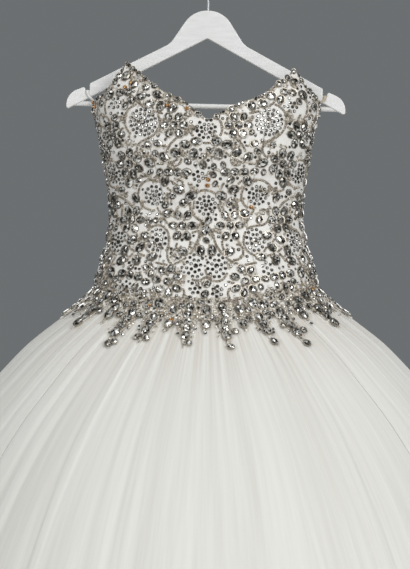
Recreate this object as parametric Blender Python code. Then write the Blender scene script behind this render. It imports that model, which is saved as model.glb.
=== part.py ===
"""A strapless beaded ball gown on a white wooden hanger.

Sizes are in millimetres. A level is a height on the gown at its side seam, counted down
from the inside top of the hook, which is the origin. A share is a place round the gown:
0 at the centre front, 0.25 at a side seam, 0.5 at the centre back, and negative on the
side that is on the left when the gown is seen from the front.
"""

import math
import random
from collections import namedtuple

import bmesh
import bpy
import numpy as np
from mathutils import Matrix, Vector
from mathutils.geometry import delaunay_2d_cdt

MM = 0.001

# Rings of the gown, from the neckline's peaks to the hem
Section = namedtuple("Section", "name level half_width front back")
SECTIONS = (
    Section("peaks", 130, 165, 50, 56),
    Section("side_top", 214, 179.5, 80, 66),
    Section("over_bust", 250, 171, 86, 68),
    Section("bust", 285, 165, 88, 68),
    Section("under_bust", 335, 155.5, 78, 62),
    Section("waist", 384, 151.5, 70, 62),
    Section("high_hip", 430, 156.5, 84, 80),
    Section("hip", 478, 172, 102, 100),
    Section("seam", 505, 177.5, 110, 110),
    Section("gathers", 525, 197, 122, 123),
    Section("flare", 560, 243, 154, 157),
    Section("shoulder", 594, 286, 189, 195),
    Section("upper_dome", 635, 326, 230, 238),
    Section("dome", 710, 392, 300, 312),
    Section("wide_dome", 850, 481, 404, 421),
    Section("low_dome", 1080, 594, 518, 543),
    Section("hem", 1525, 725, 645, 680),
)
QUARTER = 0.25
QUARTER_STEPS = 60

# The waist seam and what is near it hang lower at the centres than at the sides
FRONT_DIP = 30
BACK_DIP = 12
DIP_LEVELS = (384, 478, 600, 949)
DIP_AMOUNTS = (0, 1, 1, 0)

# Bodice
BODICE_WALL = 3.0
BODICE_SEAT = 1.1
SEAM_GAP = 0.3
LOWER_EDGE = 522
SEAM_SPACING = 20
GRID_LEVEL = 26
GRID_WIDTH = 22
SIDE_GRID_WIDTH = 12
GRID_INSET = 0.4
SIDE_REACH = 0.055
EDGE_CLEARANCE = 5
STONE_CLEARANCE = 3
STONE_MARGIN = 1

NeckPoint = namedtuple("NeckPoint", "share left right")
FRONT_NECKLINE = (
    NeckPoint(0.000, 240, 240),
    NeckPoint(0.010, 233, 240),
    NeckPoint(0.025, 222, 230),
    NeckPoint(0.040, 212, 224),
    NeckPoint(0.053, 206, 218),
    NeckPoint(0.068, 201, 212),
    NeckPoint(0.083, 195, 209),
    NeckPoint(0.100, 185, 203),
    NeckPoint(0.115, 176, 196),
    NeckPoint(0.130, 167, 187),
    NeckPoint(0.143, 160, 179),
    NeckPoint(0.155, 154, 175),
    NeckPoint(0.165, 148, 169),
    NeckPoint(0.170, 145, 166),
    NeckPoint(0.175, 157, 163),
    NeckPoint(0.179, 167, 160),
    NeckPoint(0.184, 175, 157),
    NeckPoint(0.190, 180, 160),
    NeckPoint(0.196, 184, 178),
    NeckPoint(0.203, 194, 185),
    NeckPoint(0.211, 198, 191),
    NeckPoint(0.220, 200, 197),
    NeckPoint(0.228, 201, 199),
    NeckPoint(0.236, 205, 205),
    NeckPoint(0.241, 212, 214),
    NeckPoint(0.245, 215, 220),
    NeckPoint(0.250, 218, 224),
)
BACK_NECKLINE = (
    NeckPoint(0.250, 218, 224),
    NeckPoint(0.300, 222, 227),
    NeckPoint(0.400, 229, 229),
    NeckPoint(0.500, 232, 232),
)
NECK_SPACING = 11

SeamPoint = namedtuple("SeamPoint", "level share")
PRINCESS_SEAM = (
    SeamPoint(130, 0.128),
    SeamPoint(285, 0.110),
    SeamPoint(384, 0.088),
    SeamPoint(505, 0.097),
    SeamPoint(620, 0.097),
)

# Pointed leaf sprays that run from the bodice's lower edge over the skirt
Spray = namedtuple("Spray", "share tip half_width")
FRONT_SPRAYS = (
    Spray(0.000, 541, 0.012),
    Spray(0.027, 569, 0.014),
    Spray(0.054, 543, 0.012),
    Spray(0.080, 568, 0.013),
    Spray(0.115, 577, 0.014),
    Spray(0.145, 545, 0.013),
    Spray(0.177, 563, 0.015),
    Spray(0.205, 542, 0.011),
    Spray(0.231, 554, 0.014),
)
BACK_SPRAYS = (
    Spray(0.269, 550, 0.014),
    Spray(0.300, 566, 0.015),
    Spray(0.331, 545, 0.013),
    Spray(0.363, 572, 0.015),
    Spray(0.396, 546, 0.013),
    Spray(0.428, 570, 0.015),
    Spray(0.458, 545, 0.012),
    Spray(0.484, 563, 0.012),
)
SPRAY_SHOULDER = 0.52
SPRAY_SHOULDER_DROP = 0.42
SPINE_SHARES = (0.02, 0.55)

# Large crystals, raised in the bodice's outer wall
CRYSTAL_RISE = 3.0
STONE_SPACING = 2.5
Stone = namedtuple("Stone", "share level angle length width")
Rosette = namedtuple("Rosette", "share level petals radius")
ROSETTES = (
    Rosette(0.060, 250, 6, 15),
    Rosette(0.150, 196, 6, 14),
    Rosette(0.188, 262, 6, 16),
    Rosette(0.058, 322, 6, 14),
    Rosette(0.158, 308, 7, 17),
    Rosette(0.050, 402, 6, 15),
    Rosette(0.166, 396, 6, 15),
    Rosette(0.226, 372, 6, 15),
    Rosette(0.070, 472, 7, 17),
    Rosette(0.142, 474, 6, 14),
    Rosette(0.224, 458, 6, 14),
    Rosette(0.268, 306, 6, 15),
    Rosette(0.365, 318, 7, 17),
    Rosette(0.468, 296, 6, 15),
    Rosette(0.318, 350, 6, 14),
    Rosette(0.405, 392, 6, 16),
    Rosette(0.478, 372, 6, 14),
    Rosette(0.300, 464, 6, 15),
    Rosette(0.352, 428, 6, 14),
    Rosette(0.440, 462, 7, 17),
)
# Round fields of small beads, where no large crystal lies
Medallion = namedtuple("Medallion", "share level radius")
MEDALLIONS = (
    Medallion(0.000, 256, 19),
    Medallion(0.120, 244, 24),
    Medallion(0.111, 358, 20),
    Medallion(0.000, 374, 19),
    Medallion(0.102, 422, 15),
    Medallion(0.205, 322, 18),
    Medallion(0.190, 430, 15),
    Medallion(0.020, 450, 14),
    Medallion(0.310, 268, 22),
    Medallion(0.418, 272, 22),
    Medallion(0.440, 346, 19),
    Medallion(0.280, 398, 18),
    Medallion(0.352, 380, 17),
    Medallion(0.380, 484, 16),
    Medallion(0.470, 418, 16),
)
MEDALLION_MARGIN = 5
# Scrolls of leaf pairs: start, heading in degrees from level towards the side, bend and length
Scroll = namedtuple("Scroll", "share level heading bend length")
SCROLLS = (
    Scroll(0.012, 246, 80, -0.9, 96),
    Scroll(0.030, 282, 20, 1.5, 70),
    Scroll(0.150, 168, 100, 0.9, 90),
    Scroll(0.060, 214, -10, 1.2, 66),
    Scroll(0.140, 290, 75, -1.3, 120),
    Scroll(0.010, 404, 70, -1.0, 84),
    Scroll(0.110, 352, 95, 1.1, 96),
    Scroll(0.190, 372, 85, 1.0, 110),
    Scroll(0.235, 300, 95, -0.8, 90),
    Scroll(0.040, 470, 20, 0.9, 64),
    Scroll(0.120, 425, 40, 0.9, 60),
    Scroll(0.185, 450, 75, -0.8, 80),
    Scroll(0.270, 240, 70, -0.9, 110),
    Scroll(0.350, 250, 60, 1.1, 100),
    Scroll(0.470, 260, 110, -0.8, 110),
    Scroll(0.320, 330, 60, 1.1, 100),
    Scroll(0.440, 350, 80, -1.0, 90),
    Scroll(0.260, 352, 85, 0.9, 90),
    Scroll(0.330, 440, 20, 1.0, 80),
    Scroll(0.420, 480, 15, 0.8, 60),
)
LEAF_STEP = 23
LEAF_LENGTH = 15
LEAF_WIDTH = 11.5
LEAF_SPLAY = 50
LEAF_OFFSET = 9.5
PETAL_LENGTH = 13
PETAL_WIDTH = 10.5
HEART_SIZE = 11
SPRAY_STONE_STEP = 17
FILL_SPACING = 46
FILL_LENGTHS = (12, 15)
FILL_WIDTH_SHARE = 0.8
FILL_JITTER = 0.2
FILL_ROW_STEP = 0.86
FILL_TOP = 160
FILL_START = 0.004
FILL_SEED = 21
# Stones of the mirrored half may start this far over the centre line
CENTRE_REACH = 0.02

# Skirt
SKIRT_WALL = 3.0
SkirtPanel = namedtuple("SkirtPanel", "name folds start end")
SKIRT_PANELS = (
    SkirtPanel("front", 18, -0.14, 0.14),
    SkirtPanel("side_left", 13, -0.345, -0.14),
    SkirtPanel("side_right", 13, 0.14, 0.345),
    SkirtPanel("back_left", 10, -0.5, -0.345),
    SkirtPanel("back_right", 10, 0.345, 0.5),
)
SKIRT_LEVELS = (497, 505, 525, 560, 594, 635, 710, 850, 1080, 1525)
FoldDepth = namedtuple("FoldDepth", "level depth")
FOLD_DEPTHS = (
    FoldDepth(497, 1.5),
    FoldDepth(505, 3),
    FoldDepth(560, 5),
    FoldDepth(635, 7),
    FoldDepth(850, 9),
    FoldDepth(1525, 13),
)
# Points across one fold: a narrow valley and a broad rounded crest
FoldPoint = namedtuple("FoldPoint", "across depth")
FOLD_POINTS = (FoldPoint(0.0, 1.0), FoldPoint(0.34, 0.10), FoldPoint(0.68, 0.0))
SEAM_VALLEY = 0.6
FOLD_SEED = 7

# Hanger, built level about the hook and then turned until its right end hangs lower.
# The gown hangs straight below it, so its middle lies a little to the left of the hook.
HANGER_TILT = 1.35
GOWN_SHIFT = -4.6
Corner = namedtuple("Corner", "name x drop radius")
HANGER_RIGHT_HALF = (
    Corner("crown", 24.0, 59.0, 43),
    Corner("neck", 59.2, 113.2, 32),
    Corner("notch_edge_in", 187.2, 180.5, 2.5),
    Corner("notch_floor_in", 187.2, 193.3, 3),
    Corner("notch_floor_out", 194.8, 193.3, 3),
    Corner("notch_edge_out", 194.8, 185.4, 2.5),
    Corner("tip_top", 224.3, 197.7, 30),
    Corner("tip_bottom", 224.3, 222.8, 3),
)
HANGER_APEX = Corner("apex", 0, 103.7, 4)
HANGER_THICKNESS = 12
HANGER_ROUNDING = 1.6
BAR_DROP = 212.5
BAR_RADIUS = 4
BAR_HALF_LENGTH = 213
BAR_SIDES = 14
SOCKET_CLEARANCE = 0.3

WIRE_RADIUS = 1.75
WIRE_SIDES = 8
HOOK_RADIUS = 20
HOOK_BEND_RADIUS = 9
HOOK_TIP_ANGLE = -35
HOOK_STEM_BOTTOM = 72
HOOK_SOCKET_DEPTH = 14

# Ribbon loops that hang the gown from the hanger's notches
LOOP_WIDTH = 5
LOOP_THICKNESS = 1
LoopPoint = namedtuple("LoopPoint", "x y drop")
LOOP_HALF = (
    LoopPoint(191.0, 0.0, 191.6),
    LoopPoint(191.0, 5.4, 191.6),
    LoopPoint(190.9, 7.4, 193.3),
    LoopPoint(189.5, 7.7, 199.0),
    LoopPoint(183.0, 7.7, 205.0),
    LoopPoint(175.4, 7.0, 210.4),
    LoopPoint(173.4, 5.2, 218.0),
    LoopPoint(173.4, 3.2, 227.0),
    LoopPoint(173.4, 0.0, 232.0),
)
# The loops follow the turned hanger down to the first drop and the gown from the second on
LOOP_BLEND = (199, 218)


def clear_scene():
    for thing in list(bpy.data.objects):
        bpy.data.objects.remove(thing, do_unlink=True)


def material(name, colour, roughness, metallic=0.0):
    finish = bpy.data.materials.new(name)
    finish.use_nodes = True
    finish.diffuse_color = (*colour, 1)
    shader = finish.node_tree.nodes["Principled BSDF"]
    shader.inputs["Base Color"].default_value = (*colour, 1)
    shader.inputs["Roughness"].default_value = roughness
    shader.inputs["Metallic"].default_value = metallic
    return finish


def add_object(name, mesh, finish):
    piece = bpy.data.objects.new(name, mesh)
    bpy.context.collection.objects.link(piece)
    mesh.materials.clear()
    mesh.materials.append(finish)
    return piece


def mesh_from_bmesh(name, shape):
    bmesh.ops.recalc_face_normals(shape, faces=shape.faces)
    mesh = bpy.data.meshes.new(name)
    shape.to_mesh(mesh)
    shape.free()
    return mesh


# The gown's surface

LEVELS = [row.level for row in SECTIONS]
HALF_WIDTHS = [row.half_width for row in SECTIONS]
FRONT_DEPTHS = [row.front for row in SECTIONS]
BACK_DEPTHS = [row.back for row in SECTIONS]
QUARTER_ANGLES = np.linspace(0, math.pi / 2, QUARTER_STEPS + 1)


def quarter_lengths(half_width, depth):
    """Lengths along a quarter of an ellipse, from the centre front or back to the side."""
    across = half_width * np.sin(QUARTER_ANGLES)
    along = depth * np.cos(QUARTER_ANGLES)
    steps = np.hypot(np.diff(across), np.diff(along))
    return np.concatenate(([0], np.cumsum(steps)))


def section_girth(row):
    front = quarter_lengths(row.half_width, row.front)[-1]
    back = quarter_lengths(row.half_width, row.back)[-1]
    return 2 * (front + back)


GIRTHS = [section_girth(row) for row in SECTIONS]


def girth(level):
    return float(np.interp(level, LEVELS, GIRTHS))


def dip(share, level):
    amount = FRONT_DIP if abs(share) < QUARTER else BACK_DIP
    swing = math.cos(2 * math.pi * share) ** 2
    return amount * swing * float(np.interp(level, DIP_LEVELS, DIP_AMOUNTS))


def surface(share, level):
    """A point on the gown's surface, in millimetres, with +Z up."""
    half_width = float(np.interp(level, LEVELS, HALF_WIDTHS))
    in_front = abs(share) <= QUARTER
    depths = FRONT_DEPTHS if in_front else BACK_DEPTHS
    depth = float(np.interp(level, LEVELS, depths))
    quarter_share = abs(share) / QUARTER if in_front else (0.5 - abs(share)) / QUARTER
    lengths = quarter_lengths(half_width, depth)
    angle = float(np.interp(quarter_share * lengths[-1], lengths, QUARTER_ANGLES))
    x = GOWN_SHIFT + math.copysign(half_width * math.sin(angle), share)
    y = depth * math.cos(angle)
    return Vector((x, -y if in_front else y, -level - dip(share, level)))


def outward(share, level):
    """The surface's outward normal, from small steps round and down."""
    round_step = 0.002
    level_step = 1.5
    ahead = surface(min(share + round_step, 0.5), level)
    behind = surface(max(share - round_step, -0.5), level)
    below = surface(share, min(level + level_step, LEVELS[-1]))
    above = surface(share, max(level - level_step, LEVELS[0]))
    return (above - below).cross(ahead - behind).normalized() * -1


def offset_point(share, level, out):
    return (surface(share, level) + outward(share, level) * out) * MM


def slant(level):
    """Length down the side for each millimetre of level."""
    step = 4
    wider = np.interp(level + step, LEVELS, HALF_WIDTHS) - np.interp(level - step, LEVELS, HALF_WIDTHS)
    return math.hypot(1, wider / (2 * step))


def moved(share, level, across, down):
    """The place that lies some millimetres round and down from another."""
    return share + across / girth(level), level + down / slant(level)


# The crystals' layout

def apart(stone, others):
    round_scale = girth(stone.level)
    down_scale = slant(stone.level)
    for other in others:
        across = (stone.share - other.share) * round_scale
        down = (stone.level - other.level) * down_scale
        near = (stone.length + other.length + stone.width + other.width) / 4 + STONE_SPACING
        if math.hypot(across, down) < near:
            return False
    return True


def rosette_stones(rosette):
    centre = Stone(rosette.share, rosette.level, 0, HEART_SIZE, HEART_SIZE)
    stones = [centre]
    for petal in range(rosette.petals):
        turn = 2 * math.pi * petal / rosette.petals
        across = rosette.radius * math.cos(turn)
        down = rosette.radius * math.sin(turn)
        share, level = moved(rosette.share, rosette.level, across, down)
        stones.append(Stone(share, level, math.degrees(turn), PETAL_LENGTH, PETAL_WIDTH))
    return stones


def scroll_stones(scroll):
    stones = []
    share = scroll.share
    level = scroll.level
    heading = scroll.heading
    travelled = 0
    while travelled < scroll.length:
        for side in (-1, 1):
            sideways = math.radians(heading + 90 * side)
            across = LEAF_OFFSET * math.cos(sideways)
            down = LEAF_OFFSET * math.sin(sideways)
            leaf_share, leaf_level = moved(share, level, across, down)
            leaf_angle = heading + LEAF_SPLAY * side
            stones.append(Stone(leaf_share, leaf_level, leaf_angle, LEAF_LENGTH, LEAF_WIDTH))
        across = LEAF_STEP * math.cos(math.radians(heading))
        down = LEAF_STEP * math.sin(math.radians(heading))
        share, level = moved(share, level, across, down)
        heading += scroll.bend * LEAF_STEP
        travelled += LEAF_STEP
    stones.append(Stone(share, level, heading, LEAF_LENGTH, LEAF_WIDTH))
    return stones


def spray_stones(spray):
    stones = []
    level = spray.tip - SPRAY_STONE_STEP / 2
    while level > LOWER_EDGE - SPRAY_STONE_STEP:
        stones.append(Stone(spray.share, level, 90, LEAF_LENGTH, LEAF_WIDTH))
        level -= SPRAY_STONE_STEP / slant(level)
    return stones


def fill_places():
    """A jittered grid over half the bodice, for the stones between the motifs."""
    dice = random.Random(FILL_SEED)
    level = FILL_TOP
    odd_row = False
    while level < LOWER_EDGE:
        step = FILL_SPACING / girth(level)
        share = step / 2 if odd_row else FILL_START
        while share < 0.5:
            jitter_round = dice.uniform(-FILL_JITTER, FILL_JITTER) * step
            jitter_down = dice.uniform(-FILL_JITTER, FILL_JITTER) * FILL_SPACING
            length = dice.uniform(*FILL_LENGTHS)
            angle = dice.uniform(0, 180)
            width = length * FILL_WIDTH_SHARE
            yield Stone(share + jitter_round, level + jitter_down, angle, length, width)
            share += step
        level += FILL_SPACING * FILL_ROW_STEP
        odd_row = not odd_row


def in_medallion(stone):
    for medallion in MEDALLIONS:
        across = (stone.share - medallion.share) * girth(stone.level)
        down = (stone.level - medallion.level) * slant(stone.level)
        if math.hypot(across, down) < medallion.radius + MEDALLION_MARGIN:
            return True
    return False


def half_layout():
    """The stones on the half of the bodice with positive shares, motifs first."""
    wanted = []
    for rosette in ROSETTES:
        wanted.extend(rosette_stones(rosette))
    for spray in FRONT_SPRAYS + BACK_SPRAYS:
        wanted.extend(spray_stones(spray))
    for scroll in SCROLLS:
        wanted.extend(scroll_stones(scroll))
    wanted.extend(fill_places())
    stones = []
    for stone in wanted:
        if stone.share > -CENTRE_REACH and not in_medallion(stone) and apart(stone, stones):
            stones.append(stone)
    return stones


def whole_layout():
    stones = []
    for stone in half_layout():
        if apart(stone, stones):
            stones.append(stone)
        twin = Stone(-stone.share, stone.level, 180 - stone.angle, stone.length, stone.width)
        if apart(twin, stones):
            stones.append(twin)
    return stones


# Bodice panels

def neck_level(share):
    rows = FRONT_NECKLINE if abs(share) <= QUARTER else BACK_NECKLINE
    shares = [row.share for row in rows]
    levels = [row.left if share < 0 else row.right for row in rows]
    return float(np.interp(abs(share), shares, levels))


def princess_share(level):
    levels = [row.level for row in PRINCESS_SEAM]
    shares = [row.share for row in PRINCESS_SEAM]
    return float(np.interp(level, levels, shares))


def side_share(level):
    return QUARTER


def centre_back_share(level):
    return 0.5


def neckline_points(start, end, sign):
    """Points along the neckline from one share to another, both on one side."""
    shares = {start, end}
    for row in FRONT_NECKLINE + BACK_NECKLINE:
        if start < row.share < end:
            shares.add(row.share)
    points = []
    ordered = sorted(shares)
    for here, there in zip(ordered, ordered[1:]):
        run = (there - here) * girth(200)
        pieces = max(1, round(run / NECK_SPACING))
        for step in range(pieces):
            share = here + (there - here) * step / pieces
            points.append((share * sign, neck_level(share * sign)))
    points.append((end * sign, neck_level(end * sign)))
    return points


def lower_edge_points(start, end, sign):
    """Points along the jagged lower edge from one share to another, both on one side."""
    points = [(start, LOWER_EDGE)]
    for spray in FRONT_SPRAYS + BACK_SPRAYS:
        reach = spray.half_width
        depth = spray.tip - LOWER_EDGE
        shoulder = LOWER_EDGE + depth * SPRAY_SHOULDER_DROP
        corners = (
            (spray.share - reach, LOWER_EDGE),
            (spray.share - reach * SPRAY_SHOULDER, shoulder),
            (spray.share, spray.tip),
            (spray.share + reach * SPRAY_SHOULDER, shoulder),
            (spray.share + reach, LOWER_EDGE),
        )
        for share, level in corners:
            if start < share < end:
                points.append((share, level))
            elif share == start:
                points[0] = (share, level)
    points.append((end, LOWER_EDGE))
    return [(share * sign, level) for share, level in points]


def seam_points(seam, gap_side, sign):
    """Points down a seam, between the neckline and the lower edge, moved off it by half a gap."""
    top = neck_level(seam(200) * sign)
    count = round((LOWER_EDGE - top) / SEAM_SPACING)
    points = []
    for step in range(count + 1):
        level = top + (LOWER_EDGE - top) * step / count
        share = seam(level) + gap_side * SEAM_GAP / 2 / girth(level)
        points.append((share * sign, level))
    return points


def panel_outline(inner_seam, outer_seam, sign):
    """A closed outline: down the inner seam, along the lower edge, up the outer seam, and back."""
    down = seam_points(inner_seam, 1, sign)
    up = list(reversed(seam_points(outer_seam, -1, sign)))
    bottom = lower_edge_points(abs(down[-1][0]), abs(up[0][0]), sign)
    top = list(reversed(neckline_points(abs(down[0][0]), abs(up[-1][0]), sign)))
    return down + bottom[1:-1] + up + top[1:-1]


def centre_front_outline():
    """The centre front panel runs from one princess seam to the other."""
    right = seam_points(princess_share, -1, 1)
    left = seam_points(princess_share, -1, -1)
    neck_right = neckline_points(0, right[0][0], 1)
    neck_left = neckline_points(0, -left[0][0], -1)
    edge_right = lower_edge_points(0, right[-1][0], 1)
    edge_left = lower_edge_points(0, -left[-1][0], -1)
    bottom = list(reversed(edge_right))[1:] + edge_left[1:-1]
    top = list(reversed(neck_left))[1:] + neck_right[1:-1]
    return right + bottom + list(reversed(left)) + top


FLAT_GIRTH = 800


def flat(place):
    return Vector((place[0] * FLAT_GIRTH, place[1]))


def turns_clockwise(outline):
    area = sum(here.cross(there) for here, there in zip(outline, outline[1:] + outline[:1]))
    return area < 0


def inside(point, outline):
    crossings = 0
    for here, there in zip(outline, outline[1:] + outline[:1]):
        if (here.y > point.y) != (there.y > point.y):
            crossing = here.x + (point.y - here.y) * (there.x - here.x) / (there.y - here.y)
            if point.x < crossing:
                crossings += 1
    return crossings % 2 == 1


def edge_distance(point, outline):
    nearest = math.inf
    for here, there in zip(outline, outline[1:] + outline[:1]):
        run = there - here
        along = (point - here).dot(run) / max(run.length_squared, 1e-9)
        foot = here + run * min(max(along, 0), 1)
        nearest = min(nearest, (point - foot).length)
    return nearest


def stone_corners(stone):
    """Four corners of a pointed stone, or six of a round one."""
    turn = math.radians(stone.angle)
    corners = []
    is_round = stone.length == stone.width
    count = 6 if is_round else 4
    for number in range(count):
        angle = 2 * math.pi * number / count
        along = stone.length / 2 * math.cos(angle)
        aside = stone.width / 2 * math.sin(angle)
        across = along * math.cos(turn) - aside * math.sin(turn)
        down = along * math.sin(turn) + aside * math.cos(turn)
        corners.append(moved(stone.share, stone.level, across, down))
    return corners


def grid_step(share):
    """The grid is closer by the side seams, where the gown turns sharply."""
    by_side = abs(abs(share) - QUARTER) < SIDE_REACH
    return (SIDE_GRID_WIDTH if by_side else GRID_WIDTH) / FLAT_GIRTH


def panel_grid(outline, stones):
    """Points that carry the panel's curve, clear of its edge and of the stones."""
    shares = [place[0] for place in outline]
    levels = [place[1] for place in outline]
    flat_outline = [flat(place) for place in outline]
    flat_stones = [(flat(stone[:2]), stone.length / 2 + STONE_CLEARANCE) for stone in stones]
    places = []
    level = min(levels) + GRID_LEVEL / 2
    odd_row = False
    while level < max(levels):
        share = min(shares)
        share += grid_step(share) * GRID_INSET * (2 if odd_row else 1)
        while share < max(shares):
            point = flat((share, level))
            clear = all((point - middle).length > reach for middle, reach in flat_stones)
            if clear and inside(point, flat_outline):
                if edge_distance(point, flat_outline) > EDGE_CLEARANCE:
                    places.append((share, level))
            share += grid_step(share)
        level += GRID_LEVEL
        odd_row = not odd_row
    return places


def spray_spines(flat_outline):
    """Points down the middle of each spray, which keep its inner face round the skirt."""
    places = []
    for spray in FRONT_SPRAYS + BACK_SPRAYS:
        for sign in (-1, 1):
            for lowered in SPINE_SHARES:
                place = (spray.share * sign, LOWER_EDGE + (spray.tip - LOWER_EDGE) * lowered)
                if inside(flat(place), flat_outline) and place not in places:
                    places.append(place)
    return places


def triangulate(places, outline_count, loops):
    """Triangles over the outline, kept to the edges of the loops inside it."""
    points = [flat(place) for place in places]
    edges = []
    for loop in loops:
        edges.extend(zip(loop, loop[1:] + loop[:1]))
    border = list(range(outline_count))
    if turns_clockwise(points[:outline_count]):
        border.reverse()
    result = delaunay_2d_cdt(points, edges, [border], 1, 1e-5, True)
    faces, vertex_origins, face_origins = result[2], result[3], result[5]
    triangles = []
    for face, within in zip(faces, face_origins):
        if within:
            triangles.append([vertex_origins[corner][0] for corner in face])
    return triangles


def panel(name, outline, stones, finish):
    """A bodice panel: a plain inner face, and an outer face with its stones raised."""
    flat_outline = [flat(place) for place in outline]
    own = []
    for stone in stones:
        middle = flat(stone[:2])
        if inside(middle, flat_outline):
            corners = stone_corners(stone)
            reach = min(edge_distance(flat(corner), flat_outline) for corner in corners)
            if reach > STONE_MARGIN and all(inside(flat(corner), flat_outline) for corner in corners):
                own.append(stone)
    outer_places = list(outline)
    rises = [0] * len(outline)
    loops = []
    for stone in own:
        corners = stone_corners(stone)
        loops.append(list(range(len(outer_places), len(outer_places) + len(corners))))
        outer_places.extend(corners)
        outer_places.append((stone.share, stone.level))
        rises.extend([0] * len(corners) + [CRYSTAL_RISE])
    grid = panel_grid(outline, own)
    outer_places.extend(grid)
    rises.extend([0] * len(grid))
    inner_places = list(outline) + panel_grid(outline, []) + spray_spines(flat_outline)

    shape = bmesh.new()
    outer_out = BODICE_SEAT + BODICE_WALL
    outer = []
    for place, rise in zip(outer_places, rises):
        outer.append(shape.verts.new(offset_point(*place, outer_out + rise)))
    inner = [shape.verts.new(offset_point(*place, BODICE_SEAT)) for place in inner_places]
    for corners in triangulate(outer_places, len(outline), loops):
        shape.faces.new([outer[corner] for corner in corners])
    for corners in triangulate(inner_places, len(outline), []):
        shape.faces.new([inner[corner] for corner in reversed(corners)])
    count = len(outline)
    for number in range(count):
        following = (number + 1) % count
        shape.faces.new((outer[number], outer[following], inner[following], inner[number]))
    return add_object(name, mesh_from_bmesh(name, shape), finish)


def bodice():
    stones = whole_layout()
    finish = material("beaded_satin", (0.83, 0.80, 0.74), 0.35)
    panel("bodice_center_front", centre_front_outline(), stones, finish)
    for side, sign in (("left", -1), ("right", 1)):
        front = panel_outline(princess_share, side_share, sign)
        back = panel_outline(side_share, centre_back_share, sign)
        side_finish = material(f"beaded_satin_{side}", (0.83, 0.80, 0.74), 0.35)
        panel(f"bodice_side_front_{side}", front, stones, side_finish)
        panel(f"bodice_back_{side}", back, stones, side_finish)


# Skirt

def fold_depth(level):
    levels = [row.level for row in FOLD_DEPTHS]
    depths = [row.depth for row in FOLD_DEPTHS]
    return float(np.interp(level, levels, depths))


def fold_columns(dice, count, start, end):
    """Columns across one skirt panel: share at the waist and the hem, depth at both."""
    widths = [dice.uniform(0.65, 1.35) for fold in range(count)]
    drifts = [0] + [dice.uniform(-0.22, 0.22) for fold in range(count - 1)] + [0]
    scale = (end - start) / sum(widths)
    columns = []
    edge = start
    for number, width in enumerate(widths):
        waist_depth = dice.uniform(0.55, 1.15)
        hem_depth = dice.uniform(0.35, 1.15)
        for point in FOLD_POINTS:
            lean = drifts[number] + (drifts[number + 1] - drifts[number]) * point.across
            depths = (waist_depth * point.depth, hem_depth * point.depth)
            if number == 0 and point.across == 0:
                depths = (SEAM_VALLEY, SEAM_VALLEY)
            share = edge + point.across * width * scale
            columns.append((share, share + lean * scale, *depths))
        edge += width * scale
    columns.append((end, end, SEAM_VALLEY, SEAM_VALLEY))
    return columns


def skirt_rows(columns):
    """Rows of points down the panel, outside and inside, as (share, level, depth)."""
    rows = []
    for level in SKIRT_LEVELS:
        lowered = (level - SKIRT_LEVELS[0]) / (SKIRT_LEVELS[-1] - SKIRT_LEVELS[0])
        gap = SEAM_GAP / 2 / girth(level)
        row = []
        for waist_share, hem_share, waist_depth, hem_depth in columns:
            share = waist_share + (hem_share - waist_share) * min(1, 2 * lowered)
            depth = fold_depth(level) * (waist_depth + (hem_depth - waist_depth) * lowered)
            row.append([share, level, depth])
        row[0][0] += gap
        row[-1][0] -= gap
        rows.append(row)
    return rows


def skirt_panel(name, seed, count, start, end, finish):
    """A gathered panel of the skirt, from one seam to the next."""
    rows = skirt_rows(fold_columns(random.Random(seed), count, start, end))
    shape = bmesh.new()
    outer = []
    inner = []
    for row in rows:
        outer_row = [offset_point(share, level, -depth) for share, level, depth in row]
        inner_row = [offset_point(share, level, -depth - SKIRT_WALL) for share, level, depth in row]
        outer.append([shape.verts.new(point) for point in outer_row])
        inner.append([shape.verts.new(point) for point in inner_row])
    last = len(rows[0]) - 1
    for outer_pair, inner_pair in zip(zip(outer, outer[1:]), zip(inner, inner[1:])):
        out_above, out_below = outer_pair
        in_above, in_below = inner_pair
        for here in range(last):
            ahead = here + 1
            shape.faces.new((out_above[here], out_below[here], out_below[ahead], out_above[ahead]))
            shape.faces.new((in_above[here], in_above[ahead], in_below[ahead], in_below[here]))
        shape.faces.new((out_above[0], in_above[0], in_below[0], out_below[0]))
        shape.faces.new((out_above[last], out_below[last], in_below[last], in_above[last]))
    for here in range(last):
        ahead = here + 1
        shape.faces.new((outer[0][here], outer[0][ahead], inner[0][ahead], inner[0][here]))
        shape.faces.new((outer[-1][here], inner[-1][here], inner[-1][ahead], outer[-1][ahead]))
    return add_object(name, mesh_from_bmesh(name, shape), finish)


def skirt():
    for number, row in enumerate(SKIRT_PANELS):
        tulle = material("tulle_" + row.name, (0.86, 0.85, 0.82), 0.8)
        skirt_panel("skirt_" + row.name, FOLD_SEED + number, row.folds, row.start, row.end, tulle)


# Hanger

def tilted(x, z):
    """A place in the hanger's plane, turned with it about the hook."""
    turn = math.radians(HANGER_TILT)
    return Vector((x * math.cos(turn) + z * math.sin(turn), z * math.cos(turn) - x * math.sin(turn)))


def rounded(before, corner, after, steps):
    """An arc of the corner's radius in place of the corner."""
    middle = Vector((corner.x, corner.drop))
    back = (Vector((before.x, before.drop)) - middle).normalized()
    ahead = (Vector((after.x, after.drop)) - middle).normalized()
    half_angle = back.angle(ahead) / 2
    reach = corner.radius / math.tan(half_angle)
    centre = middle + (back + ahead).normalized() * corner.radius / math.sin(half_angle)
    start = middle + back * reach - centre
    end = middle + ahead * reach - centre
    sweep = start.angle_signed(end)
    points = []
    for step in range(steps + 1):
        turned = start.copy()
        turned.rotate(Matrix.Rotation(-sweep * step / steps, 2))
        points.append(centre + turned)
    return points


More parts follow.
